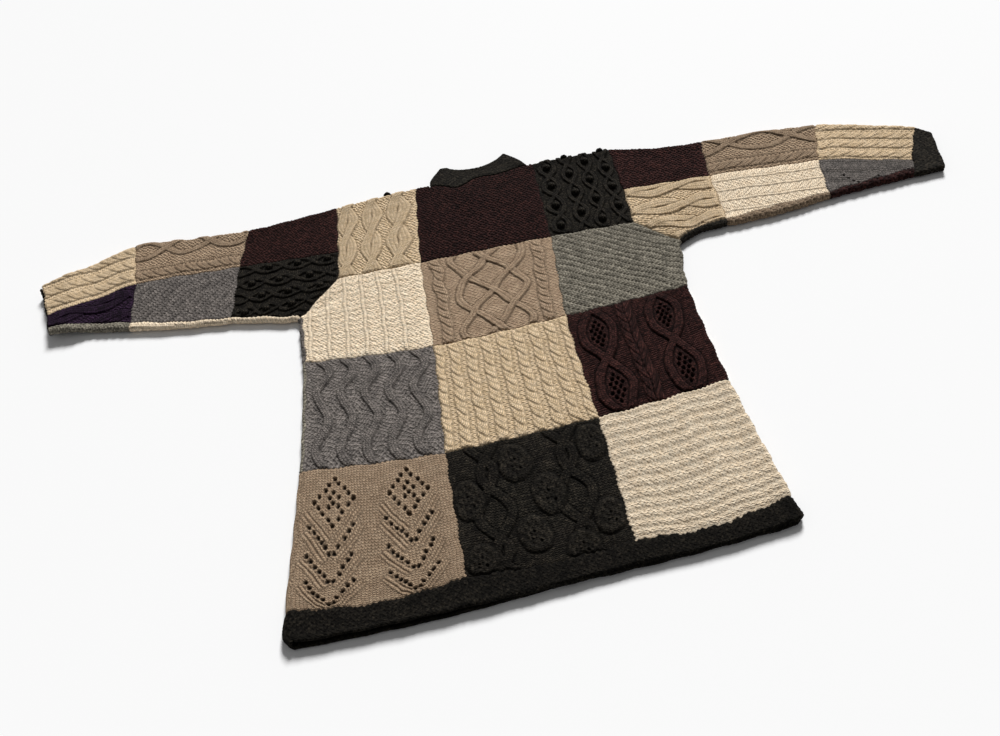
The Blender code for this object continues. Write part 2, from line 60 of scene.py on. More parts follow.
# %% The measures
SHOULDER_Y = 450.0  # the shoulder line above the origin
WALL = 4.5  # thickness of the knitted cloth
BAND_WALL = 4.7  # thickness of the ribs
LAYER_GAP = 0.5  # between the front layer and the back layer that lies on it
FOLD_RADIUS = 5.2
FOLD_STRAIGHT = 0.8  # height of the straight stretch at the outline
FOLD_HEIGHT = 2 * FOLD_RADIUS + FOLD_STRAIGHT
CROWN_WIDTH = 20.0  # how far a fold lifts the layer beside it
SIDE_STRIP = 1.2  # how far the front reaches past the left side fold onto the back
HEM_FRONT_REACH = 3.0  # how much longer than drafted the front hem band hangs
HEM_SAG = (9.0, 4.0, 9.0)  # how far the hem's seam sags below each column of squares
HEM_CORNER = 10.0  # how far the hem's corners are rounded in
HEM_CORNER_V = 4.3  # from this seam line parameter down to the edge
HEM_CURL = 2.6  # how far the back hem's edge curls up off the front one, at the left
HEM_DROOP = 5.0  # and how far it droops over the front one's edge, at the right
NECK_RISE = 4.0  # the back neckline's middle above its ends
SCOOP_DEPTH = 70.0  # the front neckline's middle below them
Sag = namedtuple("Sag", "part width depth")
NECK_SAGS = (Sag(0.26, 0.17, 21), Sag(0.66, 0.13, 9))  # where the pulled collar draws the back down
NECK = (0.13, 0.965)  # the neckline's two ends, as parts of the middle patch's width
ROW_HEIGHT = 180.0
SQUARE_WIDTH = 196.0  # of a middle square
EDGE_SQUARE_WIDTH = 192.0  # of a square beside the left armhole
HEM_PART_WIDTH = 195.0  # of the hem below one square
UNDERARM_V = 1.42  # where the underarm comes between seam lines 1 and 2
UNDERARM_BEND = 22.0  # how far from the underarm an outline is bent
KNEE = 0.42  # where the armhole's corner comes across row B
LIFT = 7.4  # how far the turned-under cuff lifts the left sleeve's end
LIFT_START, LIFT_STOP = 2.42, 2.75  # where along the sleeve it rises
LEFT, RIGHT = 0, 1
UP = np.array([0.0, 1.0])
OUTWARD = (-1, 1)  # along X, for the left and the right

BodyLine = namedtuple("BodyLine", "left_x left_y seam1_x seam1_y seam2_x seam2_y right_x right_y")
# One row for each seam line across the body, from the shoulder line to the lower edge of the hem.
BODY_LINES = (
    BodyLine(-229, 0, -92, 5, 111, 3, 241, -5),
    BodyLine(-290, -174, -98, -182, 107, -188, 286, -199),
    BodyLine(-285, -340, -94, -361, 97, -358, 274, -351),
    BodyLine(-286, -527, -95, -544, 102, -540, 275, -525),
    BodyLine(-299, -714, -88, -717, 104, -714, 288, -701),
    BodyLine(-301, -744, -86, -748, 106, -742, 293, -731),
)
Armhole = namedtuple("Armhole", "corner_x corner_y underarm_x underarm_y")
ARMHOLES = (Armhole(-229, -177, -293, -252), Armhole(235, -197, 291, -262))

SleeveLine = namedtuple("SleeveLine", "top_x top_y mid_x mid_y low_x low_y strip")
# One row for each half length of a sleeve patch, from the armhole to the cuff seam: the outline on
# top, the seam between rows A and B, the outline below, and how far row C shows inside it.
SLEEVES = (
    (
        SleeveLine(-229, 0, -229, -114, -293, -252, 7),
        SleeveLine(-305, -5, -312, -106, -345, -236, 8),
        SleeveLine(-384, -7, -395, -97, -399, -222, 8),
        SleeveLine(-484, 4, -484, -89, -484, -207, 10),
        SleeveLine(-588, 20, -572, -82, -566, -188, 15),
        SleeveLine(-662, -12, -643, -100, -636, -171, 15),
        SleeveLine(-737, -43, -711, -119, -699, -163, 13),
    ),
    (
        SleeveLine(241, -5, 239, -116, 291, -262, 7),
        SleeveLine(312, -29, 306, -122, 328, -246, 8),
        SleeveLine(387, -40, 374, -128, 366, -246, 10),
        SleeveLine(478, -48, 457, -138, 448, -244, 15),
        SleeveLine(568, -63, 540, -149, 522, -235, 9),
        SleeveLine(638, -91, 606, -171, 597, -230, 12),
        SleeveLine(704, -122, 665, -194, 655, -228, 15),
    ),
)
RIGHT_CUFF_EDGE = ((720, -142), (706, -203), (702, -229))  # its top, middle and low places

CollarLine = namedtuple("CollarLine", "left_x left_y right_x right_y back_bow front_bow")
COLLAR_LINES = (
    CollarLine(-65.4, 1, 103.4, 0, NECK_RISE, -SCOOP_DEPTH),
    CollarLine(-64, 19, 93, 19, 1, -66),
    CollarLine(-46, 47, 69, 52, -22, -76),
)
print("seam lines:", len(BODY_LINES), " sleeve lines:", [len(table) for table in SLEEVES])


# %% Curves through the measures
def mix(a, b, f):
    return a + (b - a) * f


def ease(t):
    """Rises smoothly from 0 to 1 as t does, and stays there."""
    t = np.clip(t, 0.0, 1.0)
    return t * t * (3 - 2 * t)


def unit(vectors):
    return vectors / np.linalg.norm(vectors, axis=-1, keepdims=True)


def point(x, y):
    """A place in the garment's plane, from the tables' height below the shoulder line."""
    return np.array([float(x), float(y) + SHOULDER_Y])


def spline(knots, t):
    """A smooth curve through knots that lie one unit of t apart, read at every t of an array."""
    knots, t = np.asarray(knots, float), np.asarray(t, float)
    padded = np.concatenate([2 * knots[:1] - knots[1:2], knots, 2 * knots[-1:] - knots[-2:-1]])
    i = np.clip(t.astype(int), 0, len(knots) - 2)
    f = (t - i)[..., None]
    if knots.ndim == 2:
        before, here, there, after = (padded[i + step] for step in range(4))
    else:
        taken = [np.take_along_axis(padded, (i + step)[None, ..., None], 0)[0] for step in range(4)]
        before, here, there, after = taken
    curve = 2 * here + (there - before) * f
    curve = curve + (2 * before - 5 * here + 4 * there - after) * f * f
    return (curve + (3 * here - before - 3 * there + after) * f**3) / 2


def table_points(table, part):
    """The places that a table's rows name, such as every seam1_x with its seam1_y."""
    return np.array([point(getattr(row, part + "_x"), getattr(row, part + "_y")) for row in table])


SEAM_LINES = [table_points(BODY_LINES, part) for part in ("seam1", "seam2")]
for seam_line in SEAM_LINES:
    seam_line[0] -= [0, FOLD_RADIUS]
SIDE_LINES = [table_points(BODY_LINES, part) for part in ("left", "right")]
SHOULDER_ENDS = [line[0] - [0, FOLD_RADIUS] for line in SIDE_LINES]
CORNERS = [point(a.corner_x, a.corner_y) for a in ARMHOLES]
UNDERARMS = [point(a.underarm_x, a.underarm_y) for a in ARMHOLES]
MITERS = [unit(UNDERARMS[side] - CORNERS[side]) for side in (LEFT, RIGHT)]
SIDE_POINTS = [np.vstack([UNDERARMS[side], SIDE_LINES[side][2:]]) for side in (LEFT, RIGHT)]
print("underarm to underarm:", round(float(UNDERARMS[RIGHT][0] - UNDERARMS[LEFT][0])), "mm")


# %% The body and the sleeves in plan
def from_underarm(side, place, along):
    """Bends an outline beside the underarm, so that it leaves the armhole seam square to it."""
    square = np.array([-MITERS[side][1], MITERS[side][0]])
    if square @ along < 0:
        square = -square
    distance = np.linalg.norm(place - UNDERARMS[side], axis=-1, keepdims=True)
    return mix(UNDERARMS[side] + distance * square, place, ease(distance / UNDERARM_BEND))


def side_outline(side, v):
    """The side's outline, with the hem corner rounded in."""
    t = np.where(v < 2, (v - UNDERARM_V) / (2 - UNDERARM_V), v - 1)
    outline = from_underarm(side, spline(SIDE_POINTS[side], t), -UP)
    low = np.clip((v - HEM_CORNER_V) / 0.7, 0, None)
    outline[..., 0] -= OUTWARD[side] * HEM_CORNER * low * low
    return outline


def side_direction(side, v):
    """Outward across the side fold: along the armhole seam at the underarm, level below it."""
    v = np.maximum(v, UNDERARM_V)
    level = unit(side_outline(side, v) - spline(SEAM_LINES[side], v))
    return unit(mix(level, MITERS[side], 1 - ease((v - UNDERARM_V) / 0.35)[..., None]))


def flat_end(side, v):
    """Where the flat of the panel ends: at the armhole seam, or where the side fold starts."""
    column = v[..., None]
    upper = mix(SHOULDER_ENDS[side], CORNERS[side], column)
    underarm = UNDERARMS[side] - FOLD_RADIUS * MITERS[side]
    slanted = mix(CORNERS[side], underarm, (column - 1) / (UNDERARM_V - 1))
    lower_v = np.maximum(v, UNDERARM_V)
    below = side_outline(side, lower_v) - FOLD_RADIUS * side_direction(side, lower_v)
    return np.where(column <= 1, upper, np.where(column < UNDERARM_V, slanted, below))


def body_flat(u, v):
    """A place on the flat of the body: u from 0 to 3 across the columns, v down the rows."""
    knots = [flat_end(LEFT, v), spline(SEAM_LINES[0], v), spline(SEAM_LINES[1], v), flat_end(RIGHT, v)]
    return spline(np.stack(knots), u)


def neck_v(u, depth):
    """How far the neckline cuts down into the middle patch, in rows. The collar drags the back down."""
    part = np.clip((u - 1 - NECK[0]) / (NECK[1] - NECK[0]), 0, 1)
    if depth < 0:
        dips = (sag.depth * np.exp(-(((part - sag.part) / sag.width) ** 2)) for sag in NECK_SAGS)
        depth = depth + sum(dips)
    return depth / ROW_HEIGHT * np.sqrt(1 - (2 * part - 1) ** 2)


def section_of(side, top, mid, low, strip, s):
    """Across a sleeve: where its folds start, which way they face, and its seams."""
    across = unit(top - low)
    near = 1 - ease(3 * s)[..., None]
    top_out = unit(mix(across, UP, near))
    low_out = unit(mix(-across, MITERS[side], near))
    top, low = top - FOLD_RADIUS * top_out, low - FOLD_RADIUS * low_out
    first_mid = table_points(SLEEVES[side], "mid")[0]
    bend = CORNERS[side] - mix(first_mid, UNDERARMS[side] - FOLD_RADIUS * MITERS[side], KNEE)
    knee = mix(mid, low, KNEE) + bend * (np.clip(1 - s, 0, None) ** 2)[..., None]
    strip_start = low + (strip - FOLD_RADIUS) * unit(knee - low)
    return SimpleNamespace(
        top=top, top_out=top_out, mid=mid, knee=knee, low=low, low_out=low_out, strip=strip_start
    )


def sleeve_section(side, s):
    table = SLEEVES[side]
    top, mid, low = (spline(table_points(table, part), 2 * s) for part in ("top", "mid", "low"))
    low = from_underarm(side, low, np.array([OUTWARD[side], 0.0]))
    strip = spline([[line.strip] for line in table], 2 * s)
    return section_of(side, top, mid, low, strip, s)


def fold_starts():
    """Places along every fold, from which the rise of the cloth beside a fold is measured."""
    start = np.zeros(40)
    places = [body_flat(np.linspace(0, 1 + NECK[0], 40), start)]
    places.append(body_flat(np.linspace(1 + NECK[1], 3, 40), start))
    for side in (LEFT, RIGHT):
        section = sleeve_section(side, np.linspace(0, 3, 140))
        places += [flat_end(side, np.linspace(UNDERARM_V, 5, 150)), section.top, section.low]
    return np.concatenate(places)


FOLD_STARTS = fold_starts()


def crown_drop(place, wall):
    """How far the top of the back layer lies below the top of a fold: nothing beside one."""
    flat = place.reshape(-1, 2)
    square = (flat**2).sum(1)[:, None] + (FOLD_STARTS**2).sum(1) - 2 * flat @ FOLD_STARTS.T
    nearest = np.sqrt(np.clip(square.min(1), 0, None)).reshape(place.shape[:-1])
    return (FOLD_HEIGHT - 2 * wall - LAYER_GAP) * ease(nearest / CROWN_WIDTH)


print("places along the folds:", len(FOLD_STARTS))

# %% [markdown]
# ## From the plan to a surface
# The garment is two layers joined by rounded folds, like a flattened tube. One number says where a
# point is on that tube: its travel round the fold, in millimetres. At 0 it is on the back layer, facing
# up. At the full travel it is on the front layer, facing down. Everything else follows from it, so one
# short function serves the flats and the folds of every patch. A cloth simulation could lay the garment
# down instead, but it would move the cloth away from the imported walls, and this knit is too thick and
# heavy to make fine creases.

# %% Flats and folds
QUARTER = FOLD_RADIUS * math.pi / 2
AROUND = 2 * QUARTER + FOLD_STRAIGHT  # from the back layer round to the front layer
HALFWAY = AROUND / 2  # at the outline, where the side and shoulder seams run
LAYERS = {"back": 0.0, "front": AROUND}  # the travel of each flat
NECK_DEPTHS = {"back": -NECK_RISE, "front": SCOOP_DEPTH}


def skin(place, out, travel, drop, lift=0.0):
    """The cloth's outer surface and the way it faces, from a place in plan and its travel."""
    rise = 1 - np.clip((travel - QUARTER) / FOLD_STRAIGHT, 0, 1)
    curved = np.minimum(travel, QUARTER) + np.maximum(travel - QUARTER - FOLD_STRAIGHT, 0)
    sine, cosine = np.sin(curved / FOLD_RADIUS)[..., None], np.cos(curved / FOLD_RADIUS)[..., None]
    facing = np.concatenate([sine * out, cosine], -1)
    height = FOLD_RADIUS + rise * FOLD_STRAIGHT + lift - drop * (travel == 0)
    outer = np.concatenate([place, height[..., None] * np.ones_like(cosine)], -1)
    return outer + FOLD_RADIUS * facing, facing


def steps(start, stop, size):
    """Evenly spaced numbers from start to stop, about one size apart."""
    return np.linspace(start, stop, max(2, int(round(abs(stop - start) / size)) + 1))


COARSE = 1.0
FINE = 1.38 * COARSE  # mm between the points of what shows
HIDDEN = 4.4 * COARSE  # and of what lies underneath
LINING = 11.0  # and of the wall's inner face
print("fold travel:", round(AROUND, 2), "mm; points every", FINE, "mm")


# %% [markdown]
# ### The body's patches
# On a real sampler sweater each square ends at a seam, and the squares at the sides carry on round the
# fold. They could be cut out of one big surface, but then a seam would fall between the mesh's points.
# So every patch lays out its own lines of points, from seam to seam, and all of them read the same
# curves, so that they meet.

# %% Patches of the body
def hem_drop(v):
    """How far down the hem a row parameter from 4 to 5 comes, in millimetres."""
    return (spline(SEAM_LINES[0], np.full_like(v, 4.0)) - spline(SEAM_LINES[0], v))[..., 1]


def hem_rows():
    """Row parameters that lie evenly down the hem."""
    v = np.linspace(4, 5, 200)
    drop = hem_drop(v)
    return np.interp(steps(0, drop[-1], FINE), drop, v)


def sag_curve(u):
    """How far the hem's seam hangs below the table's line, across the body."""
    deepest = np.array(HEM_SAG)[np.clip(u.astype(int), 0, 2)]
    return deepest * np.sin(math.pi * (u % 1)) ** 1.3


def columns_across(layer, row, columns):
    """The points across a patch, from left to right: u, their travel round a fold, and which of them
    lie on the strip past the left fold."""
    size = FINE if layer == "back" else HIDDEN
    runs = [steps(c, c + 1, size / SQUARE_WIDTH)[(i > 0) :] for i, c in enumerate(columns)]
    u = np.concatenate(runs)
    travel = np.full(len(u), LAYERS[layer])
    strip = np.zeros(len(u), bool)
    if row > 0 and columns[0] == 0:
        if layer == "front":  # it goes all the way round the left fold, and a strip past it
            left = steps(0, AROUND, FINE)[:-1]
            u = np.concatenate([np.zeros(len(left) + 1), u])
            travel = np.concatenate([[0.0], left, travel])
            strip = np.zeros(len(u), bool)
        strip[0] = True
    if row > 0 and columns[-1] == 2:
        right = steps(HALFWAY, LAYERS[layer], FINE)[:-1][::-1]
        u = np.concatenate([u, np.full(len(right), 3.0)])
        travel = np.concatenate([travel, right])
        strip = np.concatenate([strip, np.zeros(len(right), bool)])
    return u, travel, strip


def rows_down(layer, row, columns):
    """The lines of points down a patch: v, and their travel round the shoulder fold, -1 below it."""
    down = FINE if layer == "back" or columns[0] == 0 or row == 4 else HIDDEN
    if row == 1:
        upper, lower = steps(1, UNDERARM_V, down / ROW_HEIGHT), steps(UNDERARM_V, 2, down / ROW_HEIGHT)
        v = np.concatenate([upper, lower[1:]])
    else:
        v = hem_rows() if row == 4 else steps(row, row + 1, down / ROW_HEIGHT)
    above = steps(HALFWAY, LAYERS[layer], FINE)[:-1] if row == 0 else np.array([])
    v = np.concatenate([np.zeros(len(above)), v])
    return v, np.concatenate([above, np.full(len(v) - len(above), -1.0)])


def body_patch(layer, row, columns):
    """One patch, or the whole hem for row 4, as arrays of surface points and knitting places."""
    wall = BAND_WALL if row == 4 else WALL
    flat = LAYERS[layer]
    u, travel, strip = columns_across(layer, row, columns)
    v, shoulder = rows_down(layer, row, columns)
    u, v = np.broadcast_arrays(u, v[:, None])
    travel, strip = np.broadcast_to(travel, u.shape).copy(), np.broadcast_to(strip, u.shape)
    shoulder = np.broadcast_to(shoulder[:, None], u.shape)
    cut = neck_v(u, NECK_DEPTHS[layer])
    place_v = mix(cut, 1, v) if row == 0 else v
    place = body_flat(u, place_v)
    out = np.where((u < 1.5)[..., None], side_direction(LEFT, v), side_direction(RIGHT, v))
    if row == 0:
        round_shoulder = (shoulder >= 0) & (cut == 0)
        travel[round_shoulder] = shoulder[round_shoulder]
        out = np.where(round_shoulder[..., None], UP, out)
    if row == 1:  # above the underarm there is a seam in place of the fold
        seamed = (v < UNDERARM_V) & (travel != flat)
        travel[seamed] = flat
    strip_here = strip & (v >= UNDERARM_V)
    place = place - (SIDE_STRIP * strip_here)[..., None] * out
    over = ease((u - 0.7) / 1.6)  # towards the right the back hem band hangs over the front one
    behind = travel / AROUND  # from 0 on the back layer to 1 on the front one
    if row == 4:  # the ribs hang a little longer at the left, the front ones below the back ones
        left = np.exp(-((u / 1.1) ** 2))
        back_reach, front_reach = 10 * left + 4 * over, HEM_FRONT_REACH + 11 * left - 6 * over
        place[..., 1] -= mix(back_reach, front_reach, behind) * (v - 4)
    if layer == "back" and row > 2:
        place[..., 1] -= sag_curve(u) * ease((v - 3.2) / 0.8) * (1 - ease(v - 4))
    lift = HEM_CURL * ease(v - 4) * (1 - over) - HEM_DROOP * ease((v - 4.6) / 0.4) * over
    lift = lift * (1 - behind)
    outer, facing = skin(place, out, travel, crown_drop(place, wall), lift)
    return outer, facing, body_knitting(u, place_v, travel, shoulder, flat, row, columns), wall


def body_knitting(u, v, travel, shoulder, flat, row, columns):
    """Where each point comes in the knitting: millimetres across and down from the patch's corner."""
    first = columns[0]
    beside = np.abs(travel - flat) * (shoulder < 0)
    if row == 4:
        x = u * HEM_PART_WIDTH
    elif row < 2 and first != 1:
        side = LEFT if first == 0 else RIGHT
        width = np.abs(flat_end(side, v)[..., 0] - spline(SEAM_LINES[side], v)[..., 0])
        part = (1 - u) if side == LEFT else (u - 2)
        x = EDGE_SQUARE_WIDTH - part * width if side == LEFT else part * width
    else:
        x = (u - first) * SQUARE_WIDTH
    x = np.where(u <= 0, x - beside, x + beside)
    above = np.where(shoulder >= 0, np.abs(shoulder - flat), 0)
    return x, (hem_drop(v) if row == 4 else (v - row) * ROW_HEIGHT) - above


print("lines of points down the hem:", len(hem_rows()))


# %% [markdown]
# ### The sleeves
# A sleeve is a flattened tube too, sewn from four rows of patches: A and B on top, C round the lower
# fold, D underneath. It could be a lofted tube that is cut up afterwards. Here one section across the
# tube is read at every step along the sleeve, and a patch is the run of places between two seams.

# %% Patches of the sleeves
def sleeve_patch(side, row, length):
    """One patch of a sleeve. Its knitting runs along the sleeve, from the armhole to the cuff."""
    table = table_points(SLEEVES[side], "mid")
    seam = table[2 * length : 2 * length + 3]
    total = np.linalg.norm(np.diff(seam, axis=0), axis=1).sum()
    shows = row in "ab"
    size = FINE if shows else HIDDEN
    along_size = FINE if row != "d" else HIDDEN
    s = steps(length, length + 1, along_size / total)[:, None]
    section = sleeve_section(side, s[:, 0])
    runs = []  # each run: from one place to another, or round a fold

    def run(a, b, travel, cells):
        for f in np.linspace(0, 1, cells + 1)[(1 if runs else 0) :]:
            runs.append((mix(a, b, f), section.top_out, travel))

    def fold(place, out, travels):
        for travel in travels:
            runs.append((place, out, travel))

    def cells(a, b, size):
        return max(2, int(round(np.linalg.norm(a - b, axis=-1).max() / size)))

    if row == "a":
        fold(section.top, section.top_out, steps(HALFWAY, 0, FINE))
        run(section.top, section.mid, 0.0, cells(section.top, section.mid, size))
    elif row == "b":
        run(section.mid, section.knee, 0.0, cells(section.mid, section.knee, size))
        run(section.knee, section.strip, 0.0, cells(section.knee, section.strip, size))
    elif row == "c":
        run(section.strip, section.low, 0.0, cells(section.strip, section.low, FINE))
        fold(section.low, section.low_out, steps(0, AROUND, FINE)[1:])
        run(section.low, section.knee, AROUND, cells(section.low, section.knee, size))
        run(section.knee, section.mid, AROUND, cells(section.knee, section.mid, size))
    else:
        run(section.mid, section.top, AROUND, cells(section.mid, section.top, size))
        fold(section.top, section.top_out, steps(AROUND, HALFWAY, FINE)[1:])
    place = np.stack([entry[0] for entry in runs], 1)
    out = np.stack([entry[1] for entry in runs], 1)
    travel = np.broadcast_to(np.array([entry[2] for entry in runs]), place.shape[:2])
    lift = LIFT * ease((s - LIFT_START) / (LIFT_STOP - LIFT_START)) if side == LEFT else 0.0
    lift = np.broadcast_to(lift, place.shape[:2])
    outer, facing = skin(place, out, travel, crown_drop(place, WALL), lift)
    across = np.linalg.norm(np.diff(outer, axis=1), axis=-1)
    x = np.concatenate([np.zeros((len(outer), 1)), np.cumsum(across, 1)], 1)
    if row == "a":
        x = x[:, -1:] - x
    y = np.broadcast_to((s - length) * total, x.shape)
    return outer, facing, (x, y), WALL


for side, word in ((LEFT, "left"), (RIGHT, "right")):
    seam = np.diff(table_points(SLEEVES[side], "mid"), axis=0)
    print(word, "sleeve, along its middle seam:", round(np.linalg.norm(seam, axis=1).sum()), "mm")


# %% [markdown]
# ### The bands
# Ribbing closes the ends. The right cuff carries on from its sleeve, and the collar stands up from the
# neckline and folds at its two sides, so both are short flattened tubes, lofted through a few lines.
# The left cuff is turned under its sleeve's end. Only a corner of it shows, so it is a profile carried
# along the end, which rises at that corner and lies flat on the table behind it.

# %% The cuffs and the collar
def band_drop(part):
    """How far a band's back half lies below its folds."""
    return (FOLD_HEIGHT - 2 * BAND_WALL - LAYER_GAP) * ease(np.minimum(part, 1 - part) / 0.15)


def tube_band(ends, parts, places, half, lengthwise):
    """Half of a flattened rib tube: a fold, the flat and the other fold, at each step along it."""
    flat = LAYERS[half]
    travels = steps(HALFWAY, flat, FINE)[:-1]
    first, last = ends
    place = np.concatenate([np.repeat(first[0][:, None], len(travels), 1), places], 1)
    place = np.concatenate([place, np.repeat(last[0][:, None], len(travels), 1)], 1)
    outs = [np.repeat(first[1][:, None], len(travels), 1), np.repeat(first[1][:, None], len(parts), 1)]
    out = np.concatenate(outs + [np.repeat(last[1][:, None], len(travels), 1)], 1)
    travel = np.concatenate([travels, np.full(len(parts), flat), travels[::-1]])
    drop = np.concatenate([np.zeros(len(travels)), band_drop(parts), np.zeros(len(travels))])
    shape = place.shape[:2]
    outer, facing = skin(place, out, np.broadcast_to(travel, shape), np.broadcast_to(drop, shape))
    across = np.linalg.norm(np.diff(outer, axis=1), axis=-1).mean(0)
    x = np.broadcast_to(np.concatenate([[0], np.cumsum(across)]), shape)
    return outer, facing, (x, np.broadcast_to(lengthwise[:, None], shape)), BAND_WALL


def right_cuff(half):
    """The right cuff carries on from the sleeve."""
    three = np.array([3.0])
    seam = sleeve_section(RIGHT, three)
    places = [point(*place)[None] for place in RIGHT_CUFF_EDGE]
    end = section_of(RIGHT, *places, np.array([[FOLD_RADIUS]]), three)
    f = steps(-0.1, 1, FINE / 28)[:, None]
    top, low = mix(seam.top, end.top, f), mix(seam.low, end.low, f)
    top_out, low_out = unit(mix(seam.top_out, end.top_out, f)), unit(mix(seam.low_out, end.low_out, f))
    parts = steps(0, 1, (FINE if half == "back" else HIDDEN) / 100)
    places = mix(top[:, None], low[:, None], parts[None, :, None])
    return tube_band(((top, top_out), (low, low_out)), parts, places, half, f[:, 0] * 26)


COLLAR_GAP = 0.5


def collar_edge(layer, parts):
    """The collar's seam along the neckline, just clear of it."""
    u = 1 + mix(*NECK, parts)
    edge = body_flat(u, neck_v(u, NECK_DEPTHS[layer])) + [0, COLLAR_GAP]
    shift = np.array([COLLAR_GAP + FOLD_RADIUS, 0]) * (1 - 2 * parts)[:, None] ** 9
    return edge + shift + ([0, COLLAR_GAP] if layer == "back" else [0, 0])


def collar(half):
    """The collar's back or front half, from the neckline up to the rim."""
    parts = (1 - np.cos(np.linspace(0, math.pi, 130 if half == "back" else 70))) / 2
    edges, outs = [], []
    for side, name in ((LEFT, "left"), (RIGHT, "right")):
        ends = table_points(COLLAR_LINES, name)
        along = unit(np.array([ends[1] - ends[0], ends[2] - ends[0], ends[2] - ends[1]]))
        out = np.stack([along[:, 1], -along[:, 0]], 1) * OUTWARD[side]
        out[0] = [OUTWARD[side], 0]
        outs.append(out)
        edges.append(ends - FOLD_RADIUS * out)
    lines = [collar_edge(half, parts)]
    for level in (1, 2):
        line = COLLAR_LINES[level]
        bow = line.back_bow if half == "back" else line.front_bow
        held = np.clip((parts - 0.09) / 0.91, 0, 1) if level == 2 else parts  # its left corner stands
        sag = 1 - np.abs(2 * held - 1) ** 2.4 if half == "back" else np.sin(math.pi * parts) ** 0.7
        middle = mix(edges[0][level], edges[1][level], parts[:, None])
        lines.append(middle + np.stack([0 * parts, bow * sag], 1))
    t = steps(0, 2, FINE / 25)
    places = np.stack([spline(np.array(lines)[:, i], t) for i in range(len(parts))], 1)
    folds = [(places[:, end], unit(spline(outs[side], t))) for side, end in ((LEFT, 0), (RIGHT, -1))]
    return tube_band(folds, parts, places, half, t * 25)


# The left cuff is turned under and pressed thinner. It shows only at the sleeve's top corner.
TURNED_WALL = 3.3
TURNED_Z = 3.7  # the underside of its upper wall
CUFF_LOW_END = 8.0  # how far it stops short of the sleeve's lower corner
Rise = namedtuple("Rise", "reach height")
CUFF_RISE = (Rise(-34, 0), Rise(-18, 0), Rise(-1, 0), Rise(4.2, 0.9), Rise(6.4, 6.0), Rise(6.2, 15.2))


def left_cuff(half):
    """The turned-under cuff: a wall on the ground that rises at the corner, and a wall on it."""
    section = sleeve_section(LEFT, np.array([3.0]))
    top, low = section.top[0], section.low[0]
    along = unit(top - low)
    out = np.array([-along[1], along[0]])
    rises = CUFF_RISE if half == "back" else CUFF_RISE[:3]
    t = steps(0, len(rises) - 1, 0.2)
    profile = spline([[rise.reach, rise.height] for rise in rises], t)
    parts = steps(0, 1, 0.03)
    places = mix(top, low + CUFF_LOW_END * along, parts[:, None])
    reach = profile[:, None, 0] + 0 * parts
    fade = (1 - 0.6 * ease(parts / 0.4)) * ease((0.45 - parts) / 0.1)
    height = np.maximum(profile[:, None, 1] * fade, 0)
    outer = np.concatenate([places + reach[..., None] * out, height[..., None]], -1)
    steep = ease(height / 4)[..., None]
    facing = unit(np.concatenate([steep * out, steep - 1.0], -1))
    if half == "front":
        outer[..., 2] = TURNED_Z + TURNED_WALL
        facing = np.broadcast_to([0.0, 0.0, 1.0], outer.shape)
    x = np.broadcast_to(parts * 105, height.shape)
    return outer, facing, (x, np.broadcast_to(t[:, None] * 12, height.shape)), TURNED_WALL


print("the left cuff lies", TURNED_Z, "mm up, and shows", CUFF_RISE[-1].reach, "mm past the sleeve")

# %% [markdown]
# ## Knitting places and motifs
# An Aran square is ground and figure. The ground is quiet: moss, purl or plain stockinette. The figures
# are strands of a few plain wales that stand up from it and cross: ropes, waves, chains, lattices. Each
# motif below is a rule in millimetres of knitting, as a knitter would chart it, and it changes four
# fields over the square: the height, how much of the surface is purl, how open it is at an eyelet, and
# the stitch count across and down, so that the stitches follow a strand wherever it goes. The relief
# could be left to a material's bump, but real height keeps the outlines and the shadows of a cable.

# %% The stitches and the fields of a square
STITCH = 4.0  # mm across one stockinette stitch
COURSE = 3.4  # mm down one row
SEED = (3.4, 3.2)  # moss is knitted tighter: mm across and down one stitch


def new_square(x, y):
    """The fields of a plain square. Handwork is a little uneven, so the charted lines drift."""
    x, y = x + 0.9 * np.sin(y / 8.1 + np.sin(x / 23)), y + 0.8 * np.sin(x / 9.7 + np.sin(y / 19))
    across, down = np.sin(y / 2.3 + 3 * np.sin(x / 7.1)), np.sin(x / 2.1 + 3 * np.sin(y / 6.3))
    x, y = x + 0.35 * across, y + 0.35 * down
    return SimpleNamespace(
        x=x, y=y, h=0 * x, purl=0 * x, seed=0 * x, hole=0 * x, wale=x / STITCH, course=y / COURSE,
        bobbles=[],
    )


def moss(k, where=1.0, depth=0.5):
    """Seed stitch: little bumps, staggered like an uneven draughtboard."""
    k.wale = k.x / SEED[0] + 0.28 * np.sin(1.9 * k.y / SEED[1] + 2.5 * np.sin(k.x / 17))
    k.course = k.y / SEED[1] + 0.22 * np.sin(1.7 * k.x / SEED[0] + 2.5 * np.sin(k.y / 19))
    k.h = k.h + where * depth * np.cos(math.pi * k.wale) * np.cos(math.pi * k.course)
    k.purl = np.maximum(k.purl, where)
    k.seed = np.maximum(k.seed, where)


def purl_ground(k, depth=0.7, speckle=0.0):
    """The back of the stitch, which lies lower. Speckled, it is partly as rough as moss."""
    k.purl[:] = 1.0
    k.seed[:] = speckle
    k.h -= depth


def line_beside(a, place=1.12, width=0.2):
    """A thin line along a motif's outline, where a is 1: it is 1 in its middle and fades beside it."""
    return np.exp(-(((np.abs(a) - place) / width) ** 2))


